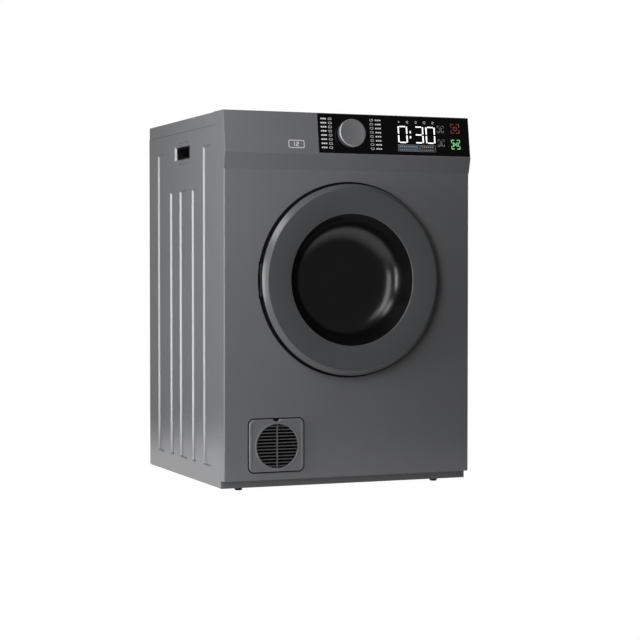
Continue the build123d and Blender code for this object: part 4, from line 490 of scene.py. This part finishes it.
edge_turn = np.linspace(0, pi / 2, 7)
edge_rows = [ray_reach(edge_round * (1 - np.cos(a))) for a in edge_turn]
edge_lifts = proud - edge_round + edge_round * np.sin(edge_turn)
share = np.linspace(0, 1, 40)[1:, None]
face_rows = (1 - share) * edge_rows[-1] + share * (eye_radius + rim_round)
reach = np.concatenate([[edge_rows[0]], edge_rows, face_rows, [np.full(len(rays), eye_radius)] * 2])
face_lifts = np.full(len(face_rows), proud)
lift = np.concatenate([[back_lift], edge_lifts, face_lifts, [proud - rim_round, back_lift]])[:, None]
spots = eye + reach[..., None] * ray_way
past_border = np.clip((-square_distance(spots) - border) / slope, 0, 1)
past_rim = np.clip((reach - eye_radius - rim) / slope, 0, 1)
sink = past_border * past_rim
lift = lift - hollow * sink * sink * (3 - 2 * sink)
notch_half = (8.0, 5.5)
notch_way = (spots - plate_middle - (0.0, plate_half[1])) / notch_half
scoop = np.clip((1.15 - np.linalg.norm(notch_way, axis=-1)) / 0.3, 0, 1)
lift = lift + (back_lift - lift) * scoop
plate_grid = np.stack([spots[..., 0], front_y - lift, spots[..., 1]], -1) / 1000
grille_plate = skin("grille_plate", plate_grid[None], "fascia_plastic", "grille")
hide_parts("exhaust_grille")

# %% Painted shade round the grille
# A thin black sheet on the front panel, reaching a little past the plate, is painted shade: it shows as a
# dark line all round the plate, where the gap round it lies in shadow.
grille_shade_inner, grille_shade_outer, grille_shade_half = ray_reach(4.0), ray_reach(-2.6), 0.3
grille_shade_reach = np.stack([grille_shade_inner, grille_shade_outer, grille_shade_outer, grille_shade_inner])
grille_shade_spots = eye + grille_shade_reach[..., None] * ray_way
grille_shade_lift = grille_shade_half * np.array([-1, -1, 1, 1])[:, None] + 0 * grille_shade_reach
grille_shade_grid = np.stack([grille_shade_spots[..., 0], front_y - grille_shade_lift, grille_shade_spots[..., 1]], -1) / 1000
grille_shade_ring = skin("grille_shade_ring", grille_shade_grid[None], "black_plastic", "cabinet")

# %% Grille louvres
# The louvres and the upright take the darker graphite finish, so they read darker than the plate.
louvre_pitch, louvre_count, bar_sunk = 7.25, 13, 0.6
bar_z = (np.arange(louvre_count) - (louvre_count - 1) / 2) * louvre_pitch
bar_half = np.sqrt(eye_radius**2 - bar_z**2) + bar_sunk
bar_turn = np.linspace(0, 2 * pi, 12, endpoint=False)
section_z = 1.35 * np.cos(bar_turn)
section_y = 1.7 * np.sin(bar_turn)
ends = np.array([-1.0, -1.0, 1.0, 1.0])[None, :, None]
width = np.array([0.0, 1.0, 1.0, 0.0])[None, :, None]
bar_grid = np.stack(np.broadcast_arrays(
    eye[0] + ends * bar_half[:, None, None],
    front_y - 2.1 + width * section_y,
    eye[1] + bar_z[:, None, None] + width * section_z), -1) / 1000
louvres = skin("grille_louvres", bar_grid, "door_plastic", "grille", wrap_rows=False)

upright_grid = np.stack(np.broadcast_arrays(
    eye[0] + width * 1.5 * np.cos(bar_turn),
    front_y - 2.3 + width * 1.7 * np.sin(bar_turn),
    eye[1] + ends * (eye_radius + bar_sunk)), -1) / 1000
upright = skin("grille_upright", upright_grid, "door_plastic", "grille", wrap_rows=False)

# %% [markdown]
# ## Print and lamps on the glass
# Behind the glass a white lamp display shows the time left, and small marks are printed round the knob
# and the keys. Each stroke is a thin slab, laid out on the plan of the leaning face. The marks are
# generic: figures, plain dashes and the usual signs for power and start. The printed marks also glow
# faintly, which is painted light.

# %% Inks and lamps
def glowing(name, dark, pale, strength):
    """Printed or lit mark: its paint runs from dark to pale with a fine noise, and it glows faintly pale; on
    printed marks that glow is painted light.
    """
    made = bpy.data.materials.new(name)
    made.use_nodes = True
    tree = made.node_tree
    shade = tree.nodes["Principled BSDF"]
    shade.inputs["Roughness"].default_value = 0.4
    shade.inputs["Specular IOR Level"].default_value = 0.1
    shade.inputs["Emission Color"].default_value = linear(pale)
    shade.inputs["Emission Strength"].default_value = strength
    place = add(tree, "TexCoord", {}).outputs["Object"]
    dots = add(tree, "TexNoise", {"Vector": place, "Scale": per_mm(0.8), "Detail": 1.0})
    ink = add(tree, "Mix", {0: dots.outputs["Fac"], 6: linear(dark), 7: linear(pale)}, data_type="RGBA")
    tree.links.new(ink.outputs[2], shade.inputs["Base Color"])
    return made


finishes["lamp_white"] = glowing("lit_display_white", "#eceef0", "#f6f7f8", 1.0)
finishes["lamp_red"] = glowing("lit_key_red", "#7c3a30", "#8a4438", 0.5)
finishes["lamp_green"] = glowing("lit_key_green", "#7fc086", "#8fce94", 0.8)
finishes["lamp_blue"] = glowing("lit_display_blue", "#1a2e3a", "#20394a", 0.5)
# The printed inks glow faintly though no lamp is behind them: a painted glow.
finishes["ink_white_painted_glow"] = glowing("screen_print_white_painted_glow", "#bdbdbd", "#c9c9c9", 0.5)
finishes["ink_grey_painted_glow"] = glowing("screen_print_grey_painted_glow", "#808080", "#8c8c8c", 0.4)
print("inks: lamp_white, lamp_red, lamp_green, lamp_blue, ink_white_painted_glow, ink_grey_painted_glow")


def marks(name, slabs, slot, body="cabinet", lift=0.08):
    """Thin slabs from (n, 4, 2) corners on the plan, from just below the face to lift, closed by poles."""
    slabs = np.asarray(slabs, float)
    middle = slabs.mean(1, keepdims=True).repeat(4, 1)
    plan = np.stack([middle, slabs, slabs, middle], 1)
    heights = np.array([-0.05, -0.05, lift, lift])[None, :, None]
    grids = on_face(plan[..., 0], plan[..., 1], heights + 0 * plan[..., 0])
    return skin(name, grids, slot, body, wrap_rows=False, sharp=20.0)


def bars(u, v, wide, high):
    """Rectangles on the plan with those middles and sizes."""
    u, v, wide, high = (a.ravel().astype(float) for a in np.broadcast_arrays(u, v, wide, high))
    signs = np.array([(-1, -1), (1, -1), (1, 1), (-1, 1)]) / 2
    return np.stack([u, v], -1)[:, None] + signs * np.stack([wide, high], -1)[:, None]


def box_line(left, right, low, high):
    """Closed line of points round a rectangle on the plan."""
    return [(left, high), (right, high), (right, low), (left, low), (left, high)]


def stroke(points, wide):
    """Quadrilaterals of that width along a line of points, each run widened across its own direction."""
    points = np.asarray(points, float)
    run = np.diff(points, axis=0)
    across = np.stack([-run[:, 1], run[:, 0]], -1) / np.linalg.norm(run, axis=1, keepdims=True) * wide / 2
    return np.stack([points[:-1] + across, points[:-1] - across, points[1:] - across, points[1:] + across], 1)


def arc(u, v, radius, first, last, steps=17):
    """Points on a circle from angle first to last, in degrees."""
    turn = np.radians(np.linspace(first, last, steps))
    return np.stack([u + radius * np.cos(turn), v + radius * np.sin(turn)], -1)


# %% Time display
# A figure has seven lamps: three level ones and four upright ones, with pointed gaps between them.
figure_wide, figure_high, lamp = 24.0, 40.0, 3.5
level_long = figure_wide - 9.5
upright_long = figure_high / 2 - 3.6
lamps = {
    "top": (0, figure_high / 2 - lamp / 2, level_long, lamp * 0.8),
    "middle": (0, 0, level_long, lamp * 0.8),
    "foot": (0, lamp / 2 - figure_high / 2, level_long, lamp * 0.8),
    "left_high": (lamp / 2 - figure_wide / 2, figure_high / 4, lamp * 0.95, upright_long),
    "left_low": (lamp / 2 - figure_wide / 2, -figure_high / 4, lamp * 0.95, upright_long),
    "right_high": (figure_wide / 2 - lamp / 2, figure_high / 4, lamp * 0.95, upright_long),
    "right_low": (figure_wide / 2 - lamp / 2, -figure_high / 4, lamp * 0.95, upright_long),
}
nought = ("top", "foot", "left_high", "left_low", "right_high", "right_low")
three = ("top", "middle", "foot", "right_high", "right_low")
display_v = 3.6
shown = []
for at_u, lit in ((129.6, nought), (169.6, three), (198.8, nought)):
    u, v, wide, high = np.array([lamps[name] for name in lit]).T
    shown.append(bars(at_u + u, display_v + v, wide, high))
shown.append(bars(148.6, display_v + np.array([6.0, -5.8]), 3.4, 5.0))
time_display = marks("time_display", np.concatenate(shown), "lamp_white")

# %% Signs above and boxes below the time
sign_u = np.array([121.4, 142.7, 164.0, 185.2, 206.4])
signs = [stroke(arc(121.4, 32.4, 1.5, -30, 330, 4), 1.2)]
signs += [stroke(arc(u, 32.2, 2.6, 20, 320), 0.8) for u in sign_u[1:]]
signs.append(bars(sign_u[1:], 32.2, 0.8, 2.8))
display_signs = marks("display_signs", np.concatenate(signs), "ink_white_painted_glow")

frames = []
for left, right in ((117.0, 170.4), (172.6, 209.9)):
    frames.append(stroke(box_line(left, right, -34.6, -20.0), 0.7))
    frames.append(stroke([(left, -28.0), (right, -28.0)], 0.5))
dash_u = np.concatenate([np.arange(122.0, 168.0, 5.2), np.arange(177.0, 207.0, 5.2)])
frames.append(bars(dash_u[None, :], np.array([-24.0, -31.4])[:, None], 3.6, np.array([3.4, 2.2])[:, None]))
status_boxes = marks("status_boxes", np.concatenate(frames), "ink_grey_painted_glow")
status_glow = marks("status_glow", bars(143.7, -27.3, 53.4, 14.6), "lamp_blue", lift=0.04)

# %% Programme lists
# Eight rows on each side of the knob: a small outlined sign and a few dashes in place of words.
row_v = np.linspace(34.0, -31.3, 8)
sign_side = {"left": -47.6, "right": 53.4}
dash_spots = {"left": np.array([-68.0, -63.2, -58.4]), "right": np.array([64.2, 69.2, 74.2])}
rows = []
for hand in ("left", "right"):
    for v in row_v:
        u = sign_side[hand]
        rows.append(stroke(box_line(u - 3.6, u + 3.6, v - 2.0, v + 2.0), 0.7))
    rows.append(bars(dash_spots[hand][None, :], row_v[:, None], 3.6, 3.2))
programme_lists = marks("programme_lists", np.concatenate(rows), "ink_white_painted_glow")

# %% Touch keys
def bracket(u, v, half, arm, wide):
    """Four corner brackets round a key."""
    corner = np.array([(half, half - arm), (half, half), (half - arm, half)])
    return [stroke(corner * sign + (u, v), wide) for sign in ((1, 1), (-1, 1), (-1, -1), (1, -1))]


power = bracket(262.0, 20.6, 10.2, 7.0, 1.8)
power += [stroke(arc(262.0, 20.6, 4.6, -240, 60), 1.6), bars(262.0, 23.6, 1.6, 5.4)]
power_key = marks("power_key", np.concatenate(power), "lamp_red")
start = bracket(261.8, -16.2, 10.2, 7.0, 1.8)
start.append(stroke([(255.6, -11.4), (261.2, -16.2), (255.6, -21.0), (255.6, -11.4)], 1.8))
start.append(bars([264.6, 268.2], -16.2, 1.9, 9.6))
start_key = marks("start_key", np.concatenate(start), "lamp_green")
small = []
for v in (18.0, -13.8):
    small += bracket(225.0, v, 7.6, 4.8, 1.0)
    small += [stroke(arc(225.0, v + 1.4, 2.6, 0, 360), 0.9), bars([222.6, 227.2], v - 4.8, 3.2, 2.4)]
small_keys = marks("small_keys", np.concatenate(small), "ink_grey_painted_glow")

# %% Capacity badge
# A printed frame on the painted part of the strip, with the load in plain figures.
badge_line = [(-146.5, -17.0), (-113.5, -17.0), (-112.0, -18.5), (-112.0, -31.8), (-113.5, -33.3)]
badge_line += [(-146.5, -33.3), (-148.0, -31.8), (-148.0, -18.5), (-146.5, -17.0)]
two_line = [(-130.5, -21.4), (-125.0, -21.4), (-125.0, -25.2)]
two_line += [(-130.5, -25.2), (-130.5, -29.0), (-125.0, -29.0)]
badge = [stroke(badge_line, 1.5), bars(-135.0, -25.1, 1.5, 9.0), stroke(two_line, 1.4)]
capacity_badge = marks("capacity_badge", np.concatenate(badge), "ink_white_painted_glow")

# %% [markdown]
# ## Floor, world and lamps
# The machine stands on a pale floor against white. The floor is a disc that fades out at its edge into
# the world. The camera sees the world white on all sides. Metal and glass see a white screen behind the
# machine and a dim studio on the other sides, which keeps the black glass and the dark front deep.
#
# The light on the machine comes from lamps. Two keys at the left make the front fall off to the right.
# A tall strip further left stands where the slanted flanks of the side's channels mirror it, so each
# channel shows as a bright line. Weak fills from above the camera, from the right and from behind keep
# the other sides readable.

# %% Floor
floor_z, floor_steps, fade_start, fade_end = -0.0002, 96, 0.7, 1.7
floor_rows = np.array([0.0, 1.0, 2.0, 3.0])[:, None]
floor_turns = np.linspace(0, 2 * pi, floor_steps, endpoint=False)
floor_plan = (floor_rows * np.cos(floor_turns), floor_rows * np.sin(floor_turns), floor_z)
floor_points = np.stack(np.broadcast_arrays(*floor_plan), -1)
index = np.arange(floor_points.size // 3).reshape(len(floor_rows), floor_steps)
index = np.concatenate([index, index[:, :1]], 1)
quads = np.stack([index[:-1, :-1], index[1:, :-1], index[1:, 1:], index[:-1, 1:]], -1).reshape(-1, 4)
floor_mesh = bpy.data.meshes.new("floor")
floor_mesh.from_pydata(floor_points.reshape(-1, 3).tolist(), [], quads.tolist())
floor = bpy.data.objects.new("floor", floor_mesh)
bpy.context.collection.objects.link(floor)


def combine(tree, operation, first, second):
    """Output of a Math node on two values or outputs."""
    return add(tree, "Math", {0: first, 1: second}, operation=operation).outputs[0]


def seeing_rays(tree):
    """Outputs that are 1 for rays from the camera, and for those that metal and glass send on."""
    path = add(tree, "LightPath", {})
    return [path.outputs[kind] for kind in ("Is Camera Ray", "Is Glossy Ray", "Is Transmission Ray")]


paper = bpy.data.materials.new("white_floor")
paper.use_nodes = True
tree = paper.node_tree
shade = tree.nodes["Principled BSDF"]
shade.inputs["Base Color"].default_value = linear("#8c8c8c")
shade.inputs["Roughness"].default_value = 0.9
shade.inputs["Emission Color"].default_value = (1, 1, 1, 1)
camera_ray, glossy_ray, clear_ray = seeing_rays(tree)
sent_on = combine(tree, "MAXIMUM", glossy_ray, clear_ray)
lift_white = combine(tree, "MULTIPLY", combine(tree, "MAXIMUM", camera_ray, sent_on), 0.92)
tree.links.new(lift_white, shade.inputs["Emission Strength"])
place = add(tree, "TexCoord", {}).outputs["Object"]
away = add(tree, "VectorMath", {0: place}, operation="LENGTH")
fade = add(tree, "MapRange", {"Value": away.outputs["Value"], "From Min": fade_start, "From Max": fade_end})
clear = add(tree, "BsdfTransparent", {})
mixed = add(tree, "MixShader", {0: fade.outputs["Result"], 1: shade.outputs[0], 2: clear.outputs[0]})
tree.links.new(mixed.outputs[0], tree.nodes["Material Output"].inputs["Surface"])
floor_mesh.materials.append(paper)
print("floor radius:", floor_rows.max(), "m")

# %% World
surround = bpy.data.worlds.new("surround")
bpy.context.scene.world = surround
surround.use_nodes = True
tree = surround.node_tree
camera_ray, glossy_ray, clear_ray = seeing_rays(tree)
outward = add(tree, "TexCoord", {}).outputs["Generated"]
view_way = (sin(camera_yaw), cos(camera_yaw), 0)
behind = add(tree, "VectorMath", {0: outward, 1: view_way}, operation="DOT_PRODUCT").outputs["Value"]
screen = add(tree, "MapRange", {
    "Value": behind, "From Min": 0.82, "From Max": 0.96, "To Min": 0.14, "To Max": 1.0}).outputs["Result"]
mirrored = combine(tree, "MULTIPLY", combine(tree, "MAXIMUM", glossy_ray, clear_ray), screen)
seen = combine(tree, "MAXIMUM", camera_ray, mirrored)
grey = add(tree, "MapRange", {"Value": seen, "To Min": 0.03, "To Max": 1.0})
tree.links.new(grey.outputs["Result"], tree.nodes["Background"].inputs["Strength"])
tree.nodes["Background"].inputs["Color"].default_value = (1, 1, 1, 1)
print("world:", surround.name, "white to the camera")

# %% Lamps
def soft_lamp(name, place, aim, size, power):
    """Rectangular area lamp at a place, turned to aim at a point."""
    lamp_data = bpy.data.lights.new(name, "AREA")
    lamp_data.shape = "RECTANGLE"
    lamp_data.size, lamp_data.size_y = size
    lamp_data.energy = power
    made = bpy.data.objects.new(name, lamp_data)
    made.location = place
    way = np.array(aim) - np.array(place)
    made.rotation_euler = (np.arccos(-way[2] / np.linalg.norm(way)), 0, np.arctan2(way[1], way[0]) - pi / 2)
    bpy.context.collection.objects.link(made)
    return made


soft_lamp("key_high_left", (-1.0, -0.55, 1.4), (0.0, -0.25, 0.5), (0.5, 0.5), 4.8)
soft_lamp("key_front_left", (-0.75, -1.1, 0.8), (-0.05, -0.27, 0.45), (0.4, 1.2), 6.2)
soft_lamp("strip_left", (-2.2, -0.56, 0.40), (-0.3, 0.03, 0.40), (0.5, 1.15), 27)
soft_lamp("fill_front", (-1.2, -2.3, 2.6), (0.0, -0.2, 0.5), (1.2, 1.2), 7.5)
soft_lamp("fill_back", (0.0, 3.0, 0.45), (0.0, 0.3, 0.45), (0.55, 0.7), 36)
soft_lamp("fill_right", (2.4, 0.7, 1.0), (0.3, 0.0, 0.45), (1.0, 1.0), 16)
